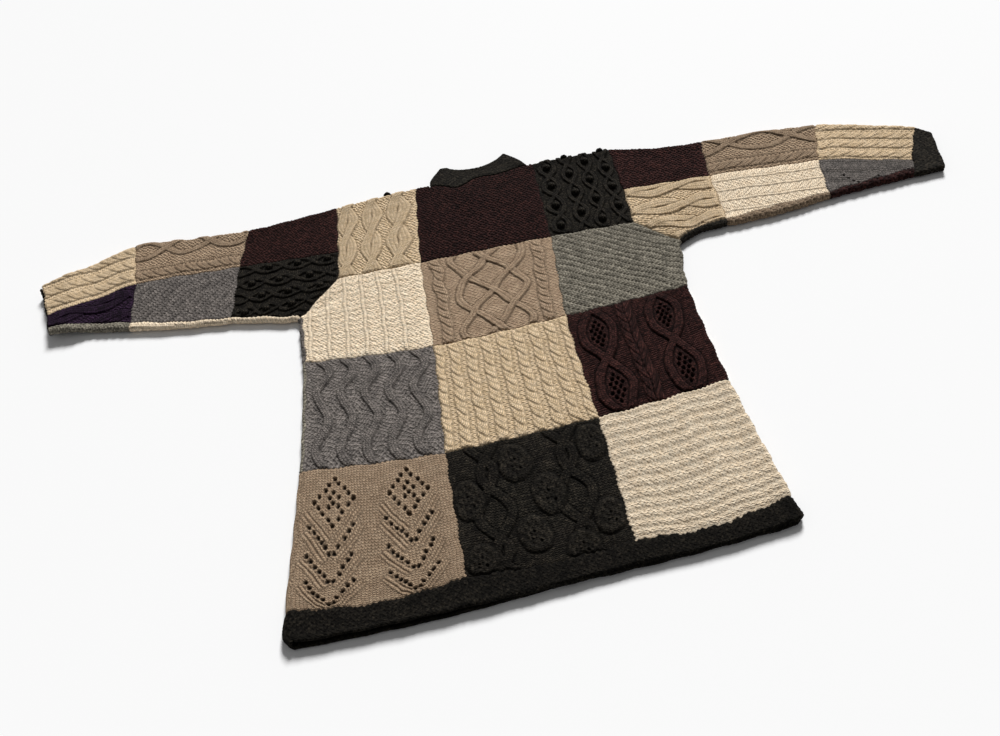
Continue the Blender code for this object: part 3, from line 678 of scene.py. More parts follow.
def lay_strand(k, path, width=10.0, height=1.6, wales=2, base=0.0, groove=0.9):
    """A raised strand of plain wales. path gives its centre line across for any place down."""
    slope = path(k.y + 0.5) - path(k.y - 0.5)
    a = (k.x - path(k.y)) / (width / 2) / np.sqrt(1 + slope**2)
    top = base + height * np.sqrt(np.clip(1 - np.abs(a) ** 3, 0, 1))
    below = (k.h < base + 0.6 * height) & (np.abs(a) > 0.8)
    k.h = k.h - groove * line_beside(a) * below
    win = (np.abs(a) < 1) & (top > k.h)
    k.h = np.where(win, top, k.h)
    k.purl = np.where(win, 0, k.purl)
    k.seed = np.where(win, 0, k.seed)
    k.wale = np.where(win, a * wales / 2 + wales % 2 / 2, k.wale)
    line = np.arange(k.y.min(), k.y.max() + 1)
    centre = path(line)
    arc = np.concatenate([[0], np.cumsum(np.hypot(np.diff(centre), 1.0))])
    k.course = np.where(win, np.interp(k.y, line, arc) / COURSE, k.course)


def lay_rope(k, centre, width=14.0, pitch=20.0, height=2.0, lean=0.42, offset=0.0):
    """A rope of two strands: each puff comes out from under the last one and swells to its lower end."""
    a = (k.x - centre) / (width / 2)
    side = a if lean > 0 else -a
    turn = k.y / pitch + offset - abs(lean) * (side - 0.4 * side * side)
    part = turn % 1
    notch = (1 - part**0.5 * (1 - part**8)) * np.clip(0.95 - 0.65 * side, 0, 1)
    top = height * np.sqrt(np.clip(1 - a**4, 0, 1)) * (1 - 0.85 * notch)
    within = np.abs(a) < 1
    k.h = np.where(within, top, k.h - 0.5 * line_beside(a))
    k.purl = np.where(within, 0, k.purl)
    k.seed = np.where(within, 0, k.seed)
    k.wale = np.where(within, 2 * turn, k.wale)
    k.course = np.where(within, (a * width / 2 + k.y * 0.5) / COURSE, k.course)


def open_eyelets(k, places, radius=2.3, depth=3.4):
    """Lace holes, each with a little raised rim."""
    for x, y in places:
        away = np.sqrt((k.x - x) ** 2 + (k.y - y) ** 2) / radius
        k.h = k.h - depth * np.exp(-(away**3)) + 0.6 * np.exp(-(((away - 1.6) / 0.4) ** 2))
        k.hole = np.maximum(k.hole, np.exp(-(away**4)))


def columns_of(k, pitch, margin=0.0):
    """Centre lines a pitch apart, evenly spread over the square."""
    width = k.x.max() - margin
    count = max(1, int(round(width / pitch)))
    start = (width - (count - 1) * pitch) / 2
    return [start + i * pitch for i in range(count)]


def wave(centre, reach, period, phase=0.0):
    """A path that swings to and fro."""
    return lambda y: centre + reach * np.sin(TURN * (y / period + phase))


size = (round(SQUARE_WIDTH / STITCH), round(ROW_HEIGHT / COURSE))
print("one square is about", size[0], "stitches by", size[1], "rows")


# %% [markdown]
# ### The sampler
# Each function is one square of the sampler. Where a pattern crosses strands, the strand on top is laid
# last and a little higher, and it leaves a thin hollow in what lies beside it: that dark line is what
# makes a cable read as a cable.

# %% Cables
def waves(k, period=150, phase=-0.03):
    """Broad cables over moss: at every crossing the strand that runs down to the left lies on top."""
    moss(k, depth=0.35)
    turn = TURN * (k.y / period + phase)
    for centre in columns_of(k, 45):
        for sign in (-1, 1):
            path = wave(centre, 10 * sign, period, phase)
            lay_strand(k, path, 14 + 5 * np.sin(turn) ** 2, 1.6, 3, 0.2 - 0.5 * sign * np.cos(turn))


def ropes(k, apart=23.2, rope=(15, 21.5, 1.9, 0.36), shift=0.12):
    """Ropes side by side, each turned a little further than the one before."""
    purl_ground(k, 0.35, 0.5)
    for i, centre in enumerate(columns_of(k, apart)):
        lay_rope(k, centre, *rope, shift * i)


def broad_ropes(k):
    ropes(k, 32, (21, 21, 2.3, 0.4), 0.2)


def bobble_chains(k, raised=1, first_column=0.0, link=48):
    """Oval links, each round one bobble, and every other chain half a link higher."""
    purl_ground(k)
    for i, centre in enumerate(columns_of(k, 32)):
        first = -7.0 if i % 2 == raised else 17.0
        phase = -(first + link / 2) / (2 * link)
        lay_strand(k, wave(centre, 10.5, 2 * link, phase), 7, 1.5, 2)
        lay_strand(k, wave(centre, -10.5, 2 * link, phase), 7, 1.5, 2, 0.4)
        if centre > first_column:
            k.bobbles += [(centre, first + link * n) for n in range(int(k.y.max() // link) + 1)]


def bobble_chains_turned(k):
    """The same at a right side: the other chains are raised, and the armhole's edge has no bobbles."""
    bobble_chains(k, 0, 100.0)


def zigzag(centre, reach, period, phase):
    """A path of straight slants with rounded bends."""
    def path(y):
        return centre + reach * np.arcsin(0.96 * np.sin(TURN * (y / period + phase))) / 1.287
    return path


def over_and_under(k, period, phase):
    """Which strand of a four-strand lattice lies on top, all along it."""
    part = (k.y / period + phase) % 1
    return 0.4 * np.interp(part, np.array([0, 1, 3, 4, 5, 7, 8]) / 8, [1, -1, 1, -1, 1, -1, 1])


def interlace(k, period=296):
    """A lattice of four slanting two-wale strands that make diamonds, between ropes."""
    purl_ground(k, 0.4, 0.4)
    k.x = k.x + 1.6 * np.sin(k.y / 9.0 + np.sin(k.x / 30))
    for strand in range(4):
        phase = strand / 4 - 92 / period
        base = 0.3 + over_and_under(k, period, phase)
        lay_strand(k, zigzag(SQUARE_WIDTH / 2, 51, period, phase), 10.5, 1.2, 2, base)
    for centre in (24.0, 171.0):
        lay_rope(k, centre, 17, 16.5, 2.2, 0.5)


def wavy_lines(k):
    """Five waved bands of plain wales on a purl ground, whose rows bend with them."""
    purl_ground(k, 1.15)
    path = wave(0.0, 9.0, 84, -0.06)
    k.course = k.course + 0.17 * path(k.y) * np.cos(TURN * (k.x - 26) / 36)
    k.seed[:] = 0.6
    for centre in columns_of(k, 36):
        lay_strand(k, lambda y, c=centre: c + path(y), 11.5, 1.2, 3, 0.0, groove=0.1)


def moss_diamonds(k, length=68.0, first=60.0):
    """Ovals filled with moss between two waved strands, with a rope along the seam."""
    moss(k, depth=0.35)
    centre = 0.74 * k.x.max()
    for sign in (1, -1):
        path = wave(centre, sign * 20, 2 * length, -first / (2 * length))
        lay_strand(k, path, 11, 1.4, 3, 0.25 + 0.25 * sign)
    lay_rope(k, 17, 18, 18, 2.4)
    lay_strand(k, lambda y: 33 + 0 * y, 4, 0.7, 1)


def long_moss_diamonds(k):
    moss_diamonds(k, 91.0, 40.0)


print("strands of the lattice cross every", 296 / 4, "mm")


# %% [markdown]
# ### Squares without crossings
# Some squares only change plain for purl, or slip a stitch along. Their relief is low and repeats every
# few stitches, so each is a short sum of waves across and down, with a slow drift to keep it from
# looking ruled.

# %% Ribs, slips and ridges
def smooth_ribs(k):
    """Narrow smooth ribs, with irregular moss and faint chevrons between them."""
    moss(k, 0.8)
    k.seed = 0.5 + 0.5 * np.sin(k.x / 6) * np.sin(k.y / 5 + 2 * np.sin(k.x / 11))
    chevron = np.abs((k.x % 28) / 28 - 0.5) * 14
    k.h = k.h + 0.4 * np.cos(TURN * (k.y - chevron) / 12)
    for centre in columns_of(k, 28, 24):
        lay_strand(k, lambda y, c=centre: c + 0 * y, 5.6, 1.0, 1)


def ladder_ribs(k):
    """Ribs joined by rungs."""
    purl_ground(k, 0.4, 0.4)
    k.h = k.h + 0.7 * np.clip(np.cos(TURN * (k.y / 12 + np.sin(k.x / 9))), 0, 1)
    for centre in columns_of(k, 24):
        lay_strand(k, lambda y, c=centre: c + 0 * y, 5.5, 0.5, 1)


def slip_diagonals(k):
    """Slipped stitches that travel down to the right."""
    line = np.cos(TURN * (k.y - 0.8 * k.x) / 14)
    k.wale, k.course = (k.y - 0.8 * k.x) / 7, (k.x + 0.8 * k.y) / 7.5
    k.h = k.h + 0.7 * line + 0.3 * line * np.cos(TURN * k.course)
    k.purl = 0.3 - 0.3 * line


def ridges(k):
    """Purl ridges across, broken into small blocks."""
    row = k.y / 14 + 0.12 * np.sin(k.x / 17)
    block = np.cos(TURN * (k.x / 12.4 + np.floor(row) * 0.37))
    gap = np.exp(-(((row % 1 - 0.5) / 0.1) ** 2)) * (0.65 + 0.35 * block)
    k.h = k.h + 0.3 * np.cos(TURN * row) + 0.45 * block * np.cos(4 * math.pi * row) - 0.6 * gap
    k.seed = 0.45 + 0.35 * block
    k.purl = 0.6 + 0.4 * np.cos(TURN * row)


def stockinette(k):
    """Plain knitting. It is the smoothest square, and lies a little proud."""
    k.h = k.h + 0.1


def rib(k):
    """The bands: plain and purl wales in pairs, drawn together, in a soft felted yarn."""
    wales = np.cos(TURN * k.x / 11)
    tufts = np.sin(k.x / 1.0 + 2 * np.sin(k.y / 2.9)) * np.sin(k.y / 0.9 + 2 * np.sin(k.x / 3.3))
    k.h = k.h + 0.15 * wales + 0.22 * tufts
    k.purl = 0.6 - 0.4 * wales
    k.seed[:] = 0.6


print("wales of rib in the hem:", round(3 * HEM_PART_WIDTH / 11))


# %% [markdown]
# ### Lace
# An eyelet is a hole that the knitter leaves by winding the yarn over the needle. Real holes would open
# the closed wall, so each is a deep dimple, and the wool is darkened in it, as the shade under a real
# one is. For every stitch wound on, one is taken in beside it, so the wales lean towards the holes.

# %% Lace
DIAMOND_HEART = ((-6, -4), (6, -4), (0, -11), (-6, 7), (6, 7), (0, 2))  # mm from the middle


def lace_chevrons(k):
    """Two columns of lace: a diamond of eyelets over three chevrons, with slanted wales under each."""
    for centre in (45.0, 142.0):
        holes = [(centre + dx, 44 + dy) for dx, dy in DIAMOND_HEART]
        for i in range(5):
            for across in (-1, 1):
                holes += [(centre + across * 6.3 * i, 44 + down * 7.2 * (4 - i)) for down in (-1, 1)]
        for tip in (84.0, 105.0, 138.0, 170.0):
            for sign in (-1, 1):
                slanted_wales(k, centre, sign, tip + 3)
        for tip in (105.0, 138.0, 170.0):
            holes += [(centre - 3 - 5.4 * i, tip - 6.2 * i) for i in range(6)]
            holes += [(centre + 3 + 5.6 * i, tip - 7.4 * i) for i in range(5)]
        open_eyelets(k, [(x + math.sin(3 * y), y + math.sin(2 * x)) for x, y in holes], 2.6)


def slanted_wales(k, centre, sign, tip):
    """Three wales that lean in towards the middle of a motif, under one arm of a chevron."""
    slope = 0.82
    away = sign * (k.x - centre)
    across = (away - (tip - k.y) * slope) / math.hypot(1, slope)
    along = ((tip - k.y) + away * slope) / math.hypot(1, slope)
    near = ease(across / 2) * ease((15 - across) / 2) * ease((along + 3) / 6) * ease((50 - along) / 8)
    near = near * ease(away / 3)
    k.h = k.h + near * (0.3 - 0.6 * np.cos(TURN * across / 5))
    k.wale = np.where(near > 0.4, across / 5, k.wale)
    k.course = np.where(near > 0.4, along / COURSE, k.course)


LOZENGE_NET = [(4.5 * (i - j), 7.2 * (i + j - 3)) for i in range(4) for j in range(4) if abs(i - j) < 3]


def leaf_lozenges(k, reach=24, period=190):
    """Two chains of lozenges filled with eyelets, and an ear of wheat between them."""
    purl_ground(k)
    for centre in (39.0, 148.0):
        inside = np.abs(k.x - centre) < reach * np.abs(np.sin(TURN * k.y / period))
        k.purl[inside] = 0
        k.h = k.h + 0.6 * inside
        for sign in (1, -1):
            lay_strand(k, wave(centre, reach * sign, period), 13, 2.0, 3, 0.2 + 0.2 * sign)
        for middle in (48, 143):
            open_eyelets(k, [(centre + dx, middle + dy) for dx, dy in LOZENGE_NET], 2.6)
    for side in (-1, 1):
        lay_rope(k, 89 + 6.6 * side, 13, 20, 2.3, -0.5 * side)


def lace_curves(k):
    """Plain knitting with a few curved lines of eyelets."""
    middle = 0.55 * k.x.max()
    for shift in (48.0, 118.0):
        arc = [(middle + 15 * math.cos(0.42 * i), shift + 5.8 * i) for i in range(-4, 5)]
        open_eyelets(k, arc, 1.7, 2.6)
    k.h = k.h + 0.5 * np.cos(TURN * k.x / 22)


# mm across and down to the middle of each medallion
OVALS = ((18, 72), (81, 35), (113, 83), (178, 31), (86, 131), (177, 131), (22, 156), (138, 164))


def medallions(k):
    """Oval leaf medallions between waved bands."""
    k.purl[:] = 0.7
    k.h = k.h - 0.5
    for i, centre in enumerate((40.0, 52.0, 138.0, 150.0)):
        lay_strand(k, wave(centre, 14 if i % 2 else -14, 104, 0.35), 12, 1.2, 3, 0.1 * (i % 2))
    for x, y in OVALS:
        oval = np.sqrt(((k.x - x) / 20) ** 2 + ((k.y - y) / 26) ** 2)
        inside = oval < 1
        leaf = 1.6 * np.sqrt(np.clip(1 - oval**2, 0, 1)) + 0.8 * line_beside(oval, 0.8, 0.13)
        veins = 0.7 * np.cos(TURN * (k.x - x) / 9) * np.cos(TURN * (k.y - y) / 12)
        k.h = np.where(inside, leaf + veins * (oval < 0.75), k.h)
        k.h = k.h - 0.9 * line_beside(oval, 1.08, 0.1)
        k.purl = np.where(inside, 0.4, k.purl)
        k.wale = np.where(inside, (k.x - x) / 5, k.wale)
        open_eyelets(k, [(x - 4, y + 6), (x + 5, y + 9), (x, y - 4)], 1.8, 1.8)


print("lace stitches in one lozenge:", len(LOZENGE_NET))

# %% Which square has which pattern
PATTERNS = {
    "back_r1": (waves, moss, bobble_chains),
    "back_r2": (smooth_ribs, interlace, slip_diagonals),
    "back_r3": (wavy_lines, ropes, leaf_lozenges),
    "back_r4": (lace_chevrons, medallions, ridges),
    "front_r1": (bobble_chains_turned, smooth_ribs, waves),
    "front_r2": (slip_diagonals, moss, ropes),
    "front_r3": (wavy_lines, moss_diamonds, ladder_ribs),
    "front_r4": (stockinette, ropes, slip_diagonals),
    "left_sleeve_a": (moss, moss_diamonds, broad_ropes),
    "left_sleeve_b": (bobble_chains, slip_diagonals, waves),
    "left_sleeve_c": (ladder_ribs, ladder_ribs, slip_diagonals),
    "left_sleeve_d": (stockinette, ropes, moss),
    "right_sleeve_a": (moss, long_moss_diamonds, ropes),
    "right_sleeve_b": (waves, ladder_ribs, lace_curves),
    "right_sleeve_c": (smooth_ribs, slip_diagonals, slip_diagonals),
    "right_sleeve_d": (stockinette, ropes, moss),
}
YARNS = {
    "back_r1": ("cream", "burgundy", "charcoal"),
    "back_r2": ("ivory", "taupe", "light_gray"),
    "back_r3": ("mid_gray", "cream", "burgundy"),
    "back_r4": ("taupe", "charcoal", "ivory"),
    "front_r1": ("charcoal", "ivory", "cream"),
    "front_r2": ("mid_gray", "burgundy", "charcoal"),
    "front_r3": ("light_gray", "taupe", "ivory"),
    "front_r4": ("taupe", "cream", "mid_gray"),
    "left_sleeve_a": ("burgundy", "taupe", "cream"),
    "left_sleeve_b": ("charcoal", "mid_gray", "aubergine"),
    "left_sleeve_c": ("ivory", "ivory", "light_gray"),
    "left_sleeve_d": ("taupe", "charcoal", "ivory"),
    "right_sleeve_a": ("burgundy", "taupe", "cream"),
    "right_sleeve_b": ("cream", "ivory", "mid_gray"),
    "right_sleeve_c": ("charcoal", "taupe", "burgundy"),
    "right_sleeve_d": ("light_gray", "cream", "charcoal"),
}
# Each listed piece's yarn is made a little lighter or deeper by its own factor.
PIECE_BRIGHTNESS = {
    "back_r1_left": 0.95, "back_r1_center": 0.7, "back_r1_right": 1.05, "back_r2_center": 1.08,
    "back_r2_left": 1.06, "back_r3_right": 1.06, "back_r4_center": 0.82, "back_r4_right": 0.84,
    "left_sleeve_a1": 0.86, "right_sleeve_a3": 1.12, "right_sleeve_b2": 1.08, "right_sleeve_c2": 0.68,
    "hem_back": 0.45, "hem_front": 0.5,
}
print("squares with a pattern:", sum(len(row) for row in PATTERNS.values()))

# %% [markdown]
# ## One small function for every node
# Both geometry and shader trees are built in the script. One function adds a node, applies its settings
# and fills its sockets, so a whole formula reads from top to bottom.

# %% The node function
def add(tree, kind, settings=None, **sockets):
    """Adds a node. Sockets are named i0, i1 ... by place, or by name with _ for a space."""
    node = tree.nodes.new(kind)
    for name, value in (settings or {}).items():
        setattr(node, name, value)
    for name, value in sockets.items():
        number = name[1:]
        socket = node.inputs[int(number)] if number.isdigit() else node.inputs[name.replace("_", " ")]
        if isinstance(value, bpy.types.NodeSocket):
            tree.links.new(value, socket)
        elif isinstance(value, bpy.types.Node):
            tree.links.new(value.outputs[0], socket)
        else:
            socket.default_value = value
    return node


MATH = "ShaderNodeMath"
TIMES, PLUS, MINUS, WAVE, WHOLE, PINGPONG = (
    {"operation": name}
    for name in ("MULTIPLY", "MULTIPLY_ADD", "SUBTRACT", "COSINE", "FLOOR", "PINGPONG")
)
SCALE = {"operation": "SCALE"}
NUMBER, VECTOR = {"data_type": "FLOAT"}, {"data_type": "FLOAT_VECTOR"}
print("node function ready")


# %% A tree with named sockets
def new_tree(name, kind, inputs, outputs):
    """An empty tree with its sockets, each a name and a kind, and the node that hands them in."""
    tree = bpy.data.node_groups.new(name, kind)
    for sockets, way in ((inputs, "INPUT"), (outputs, "OUTPUT")):
        for socket, of_kind in sockets:
            tree.interface.new_socket(socket, in_out=way, socket_type="NodeSocket" + of_kind)
    return tree, add(tree, "NodeGroupInput").outputs


print("helper: new_tree")

# %% [markdown]
# ## Stitches by Geometry Nodes
# A knitted wall is the same small loop again and again, so a node tree carves it. It reads the stitch
# counts that the patterns left on the points. Plain knitting shows columns of V's, so a row's line
# bends up on both sides of a wale. Purl shows low arcs. The tree presses the yarn's gaps into the wall
# along the way that the cloth faces, and never pushes outward, so the underside stays flat.

# %% The stitch tree
COUNTS = ("wale", "course", "purl", "seed")


def attribute(tree, name, kind=NUMBER):
    return add(tree, "GeometryNodeInputNamedAttribute", kind, i0=name)


def stitch_pattern(tree, wale, course, purl, seed):
    """How high the yarn stands, from 0 in a gap to 1, for a tree of either kind."""
    def waving(count, turns=TURN):
        return add(tree, MATH, WAVE, i0=add(tree, MATH, TIMES, i0=count, i1=turns))

    waved = waving(wale)
    rounded = add(tree, MATH, PLUS, i0=waved, i1=-0.32, i2=0.68)
    leg = add(tree, MATH, PINGPONG, i0=wale, i1=0.5)
    bent = add(tree, MATH, PLUS, i0=leg, i1=-1.3, i2=course)
    lobes = add(tree, MATH, PLUS, i0=waving(bent), i1=-0.42, i2=0.58)
    plain = add(tree, MATH, TIMES, i0=rounded, i1=lobes)
    arcs = waving(add(tree, MATH, PLUS, i0=waved, i1=0.2, i2=course))
    bars = add(tree, MATH, PLUS, i0=arcs, i1=-0.5, i2=0.5)
    bumps = add(tree, MATH, TIMES, i0=waving(wale, math.pi), i1=waving(course, math.pi))
    bumps = add(tree, MATH, PLUS, i0=bumps, i1=0.5, i2=0.5)
    ground = add(tree, "ShaderNodeMix", NUMBER, i0=seed, i2=bars, i3=bumps)
    return add(tree, "ShaderNodeMix", NUMBER, i0=purl, i2=plain, i3=ground)


def finish_tree(tree, shape, yarn):
    """Every tree's end: real geometry, in its yarn."""
    real = add(tree, "GeometryNodeRealizeInstances", i0=shape)
    add(tree, "NodeGroupOutput", i0=add(tree, "GeometryNodeSetMaterial", Geometry=real, Material=yarn))
    return tree


def stitch_tree():
    """Presses the gaps between the stitches into a wall."""
    inputs = (("Wall", "Geometry"), ("Gap depth", "Float"), ("Yarn", "Material"))
    tree, given = new_tree("Stitches in a wall", "GeometryNodeTree", inputs, (("Knitted", "Geometry"),))
    pattern = stitch_pattern(tree, *(attribute(tree, name) for name in COUNTS))
    gap = add(tree, MATH, MINUS, i0=pattern, i1=1.0)
    deep = add(tree, MATH, TIMES, i0=gap, i1=given["Gap depth"])
    deep = add(tree, MATH, TIMES, i0=deep, i1=attribute(tree, "room"))
    facing = attribute(tree, "facing", VECTOR)
    offset = add(tree, "ShaderNodeVectorMath", SCALE, i0=facing, Scale=deep.outputs[0])
    moved = add(tree, "GeometryNodeSetPosition", Geometry=given["Wall"], Offset=offset)
    return finish_tree(tree, moved, given["Yarn"])


STITCHES = stitch_tree()
print("nodes in the stitch tree:", len(STITCHES.nodes))


# %% [markdown]
# ### Bobbles
# A bobble is a few extra stitches worked into one place until they make a little ball. It stands up too
# far and too steeply for the relief of a wall, so it is a shape of its own. The tree sets one on every
# point that a pattern asks for, turned the way that the cloth faces there.

# %% The bobble tree
LUMPS_SCALE = 520.0  # lumps about 2 mm across, as the stitches of a bobble are
BOBBLE_HEIGHT = 0.82  # of its width


def bobble_tree():
    """A bobble on every point: a small tight ball of yarn, with the counts that its wool reads."""
    inputs = (("Points", "Geometry"), ("Radius", "Float"), ("Roundness", "Int"), ("Yarn", "Material"))
    tree, given = new_tree("Bobbles on points", "GeometryNodeTree", inputs, (("Bobbles", "Geometry"),))
    size = {"Radius": given["Radius"], "Subdivisions": given["Roundness"]}
    ball = add(tree, "GeometryNodeMeshIcoSphere", **size)
    position = add(tree, "GeometryNodeInputPosition")
    lumps = add(tree, "ShaderNodeTexNoise", i2=LUMPS_SCALE, i3=1.0)
    lump = add(tree, MATH, PLUS, i0=lumps.outputs[0], i1=0.5, i2=-0.25)
    bulge = add(tree, "ShaderNodeVectorMath", SCALE, i0=position, Scale=lump.outputs[0])
    ball = add(tree, "GeometryNodeSetPosition", Geometry=ball, Offset=bulge)
    store, along = "GeometryNodeStoreNamedAttribute", add(tree, "ShaderNodeSeparateXYZ", Vector=position)
    # The shade count rises up the ball: painted shade at its foot, painted light on its top.
    counts = (("wale", "X", STITCH, 0.5), ("course", "Y", COURSE, 0.5), ("shade", "Z", 5.5, -0.55))
    for name, axis, size, start in counts:
        count = add(tree, MATH, PLUS, i0=along.outputs[axis], i1=1 / (size * MM), i2=start)
        ball = add(tree, store, NUMBER, Geometry=ball, Name=name, Value=count)
    unwrapped = {"data_type": "FLOAT2", "domain": "CORNER"}
    ball = add(tree, store, unwrapped, Geometry=ball, Name="Knitting", Value=position)
    ball = add(tree, "GeometryNodeSetShadeSmooth", i0=ball)
    facing = attribute(tree, "facing", VECTOR)
    turned = add(tree, "FunctionNodeAlignRotationToVector", {"axis": "Z"}, Vector=facing)
    placed = add(
        tree, "GeometryNodeInstanceOnPoints", Points=given["Points"], Instance=ball,
        Rotation=turned, Scale=(1.0, 1.0, BOBBLE_HEIGHT),
    )
    return finish_tree(tree, placed, given["Yarn"])


BOBBLES = bobble_tree()
print("nodes in the bobble tree:", len(BOBBLES.nodes))


# %% Using a tree
def grow(piece, tree, values):
    """Puts a node tree on a piece and sets its named inputs."""
    modifier = piece.modifiers.new(tree.name, "NODES")
    modifier.node_group = tree
    for socket in tree.interface.items_tree:
        if socket.item_type == "SOCKET" and socket.in_out == "INPUT" and socket.name in values:
            modifier[socket.identifier] = values[socket.name]


def settle(pieces):
    """Turns each piece's evaluated modifiers into its own plain mesh."""
    bpy.context.view_layer.update()
    depsgraph = bpy.context.evaluated_depsgraph_get()
    for piece in pieces:
        plain = bpy.data.meshes.new_from_object(piece.evaluated_get(depsgraph))
        plain.name = piece.name
        for name in ("room", "facing"):
            if name in plain.attributes:
                plain.attributes.remove(plain.attributes[name])
        piece.modifiers.clear()
        piece.data = plain


print("helpers: grow, settle")

# %% [markdown]
# ## Wool
# The yarn is a soft two-ply lambswool, spun from fibres of mixed shades, so even a plain square is a
# little flecked, and the grays and charcoals are heathered. It has hardly any gloss. Loose fibres catch
# the light at grazing angles, which the sheen stands for. The gaps between the stitches are painted
# darker, as painted shade, because little light comes back out of them, and the tops of the stitches
# and of the relief are painted lighter, as painted light. The colour reads the same stitch counts as
# the geometry does, and draws the two legs of every V, which are finer than the mesh.

# %% Yarn colours
def linear(code):
    """The linear colour of an sRGB hex code."""
    channels = [int(code[i : i + 2], 16) / 255 for i in (1, 3, 5)]
    curve = [c / 12.92 if c <= 0.04045 else ((c + 0.055) / 1.055) ** 2.4 for c in channels]
    return (*curve, 1.0)


Yarn = namedtuple("Yarn", "body dark light flecks")  # colours, and how strong the flecks are
YARN_COLOURS = {
    "cream": Yarn("#DDC39F", "#C4A880", "#ECD5B5", 0.5),
    "ivory": Yarn("#F3DEC1", "#DFC5A2", "#F9ECD4", 0.45),
    "taupe": Yarn("#A48C73", "#87705A", "#BCA58B", 0.6),
    "mid_gray": Yarn("#6E6863", "#4D4846", "#8B827C", 0.9),
    "light_gray": Yarn("#7F796C", "#5F5A4F", "#9B9485", 0.9),
    "charcoal": Yarn("#1B1915", "#0F0C0A", "#2E2922", 0.9),
    "burgundy": Yarn("#261513", "#190C0C", "#381F1B", 0.6),
    "aubergine": Yarn("#1E1220", "#130B16", "#2B1C2F", 0.6),
}
FLECK_SIZE = 1.1  # mm: fibres are far finer, so the flecks are drawn as coarse as a stitch leg
TUFT_SIZE = 2.6  # mm: uneven spinning and loose tufts of fibre
MOTTLE_SIZE = 14.0  # mm: slow changes of shade along the yarn
PLY_SIZE = 1.5  # mm between the twists of the plies
FUZZ_DEPTH = 1.1 * MM  # between the loops and the fibres that stand off them
print("yarns:", ", ".join(YARN_COLOURS))

# %% How deep each yarn's painted shade is
# A pale yarn scatters light into its own gaps and hollows, so the shade painted in them is less dark
# than a deep yarn's. gap and top are the colour's strength between the stitches and on them: painted
# shade in the gaps, painted light on the tops. hollow and crest do the same for the patterns' relief,
# and uneven says how much one stitch differs.
Depth = namedtuple("Depth", "gap top hollow crest uneven gloss")
DEEP = Depth(0.2, 2.0, 0.3, 1.35, 0.42, 0.09)
GRAY = Depth(0.35, 1.3, 0.5, 1.15, 0.3, 0.18)
PALE = Depth(0.54, 1.12, 0.58, 1.1, 0.13, 0.18)
DEPTHS = {
    "cream": PALE,
    "ivory": PALE,
    "taupe": PALE._replace(gap=0.45, top=1.2),
    "mid_gray": GRAY,
    "light_gray": GRAY,
    "charcoal": DEEP._replace(top=1.8, hollow=0.42, uneven=0.5),
    "burgundy": DEEP._replace(gap=0.32, top=1.85, uneven=0.62),
    "aubergine": DEEP,
}
SHEEN = 0.08  # of a pale yarn's loose fibres; a deep yarn's catch less light
print("strength of the colour in a gap:", {name: depth.gap for name, depth in DEPTHS.items()})


# %% The stitches in the shader
def shade_tree():
    """The stitches again, for the shader: the V's two legs, the rows, the gaps, and uneven yarn."""
    sockets = [(name, "Float") for name in COUNTS]
    results = (("Height", "Float"), ("Uneven", "Float"))
    tree, given = new_tree("Yarn in a stitch", "ShaderNodeTree", sockets, results)
    pattern = stitch_pattern(tree, *(given[name] for name in COUNTS))
    # Height makes the wool's bump and its painted shade: low places, such as the line between a V's two
    # legs, are painted darker, and the tops lighter.
    halves = add(tree, MATH, TIMES, i0=given["wale"], i1=2 * TURN)
    split = add(tree, MATH, PLUS, i0=add(tree, MATH, WAVE, i0=halves), i1=-0.2, i2=0.8)
    split = add(tree, "ShaderNodeMix", NUMBER, i0=given["purl"], i2=split, i3=1.0)
    height = add(tree, MATH, TIMES, i0=pattern, i1=split)
    across, down = (add(tree, MATH, WHOLE, i0=given[name]) for name in ("wale", "course"))
    cell = add(tree, "ShaderNodeCombineXYZ", i0=across, i1=down)
    uneven = add(tree, "ShaderNodeTexWhiteNoise", {"noise_dimensions": "2D"}, Vector=cell)
    add(tree, "NodeGroupOutput", i0=height, i1=uneven.outputs["Value"])
    return tree


YARN_IN_STITCH = shade_tree()
print("nodes in the yarn group:", len(YARN_IN_STITCH.nodes))


# %% The wool
def fleck_ramp(tree, place, yarn):
    """The yarn's own colour: fibres, tufts and a slow mottle, run through its three shades."""
    fibres, tufts, mottle = (
        add(tree, "ShaderNodeTexNoise", Vector=place, Scale=1000 / size, Detail=detail)
        for size, detail in ((FLECK_SIZE, 2.0), (TUFT_SIZE, 2.0), (MOTTLE_SIZE, 1.0))
    )
    mixed = add(tree, "ShaderNodeMix", NUMBER, i0=0.6, i2=fibres, i3=tufts)
    mixed = add(tree, "ShaderNodeMix", NUMBER, i0=0.2, i2=mixed, i3=mottle)
    ramp = add(tree, "ShaderNodeValToRGB", i0=mixed)
    reach = 0.13 / (0.4 + yarn.flecks)
    stops = ((0.5 - reach, yarn.dark), (0.5, yarn.body), (0.5 + reach, yarn.light))
    ramp.color_ramp.elements.new(0.5)
    for stop, (where, code) in zip(ramp.color_ramp.elements, stops):
        stop.position = where
        stop.color = linear(code)
    return mixed, ramp


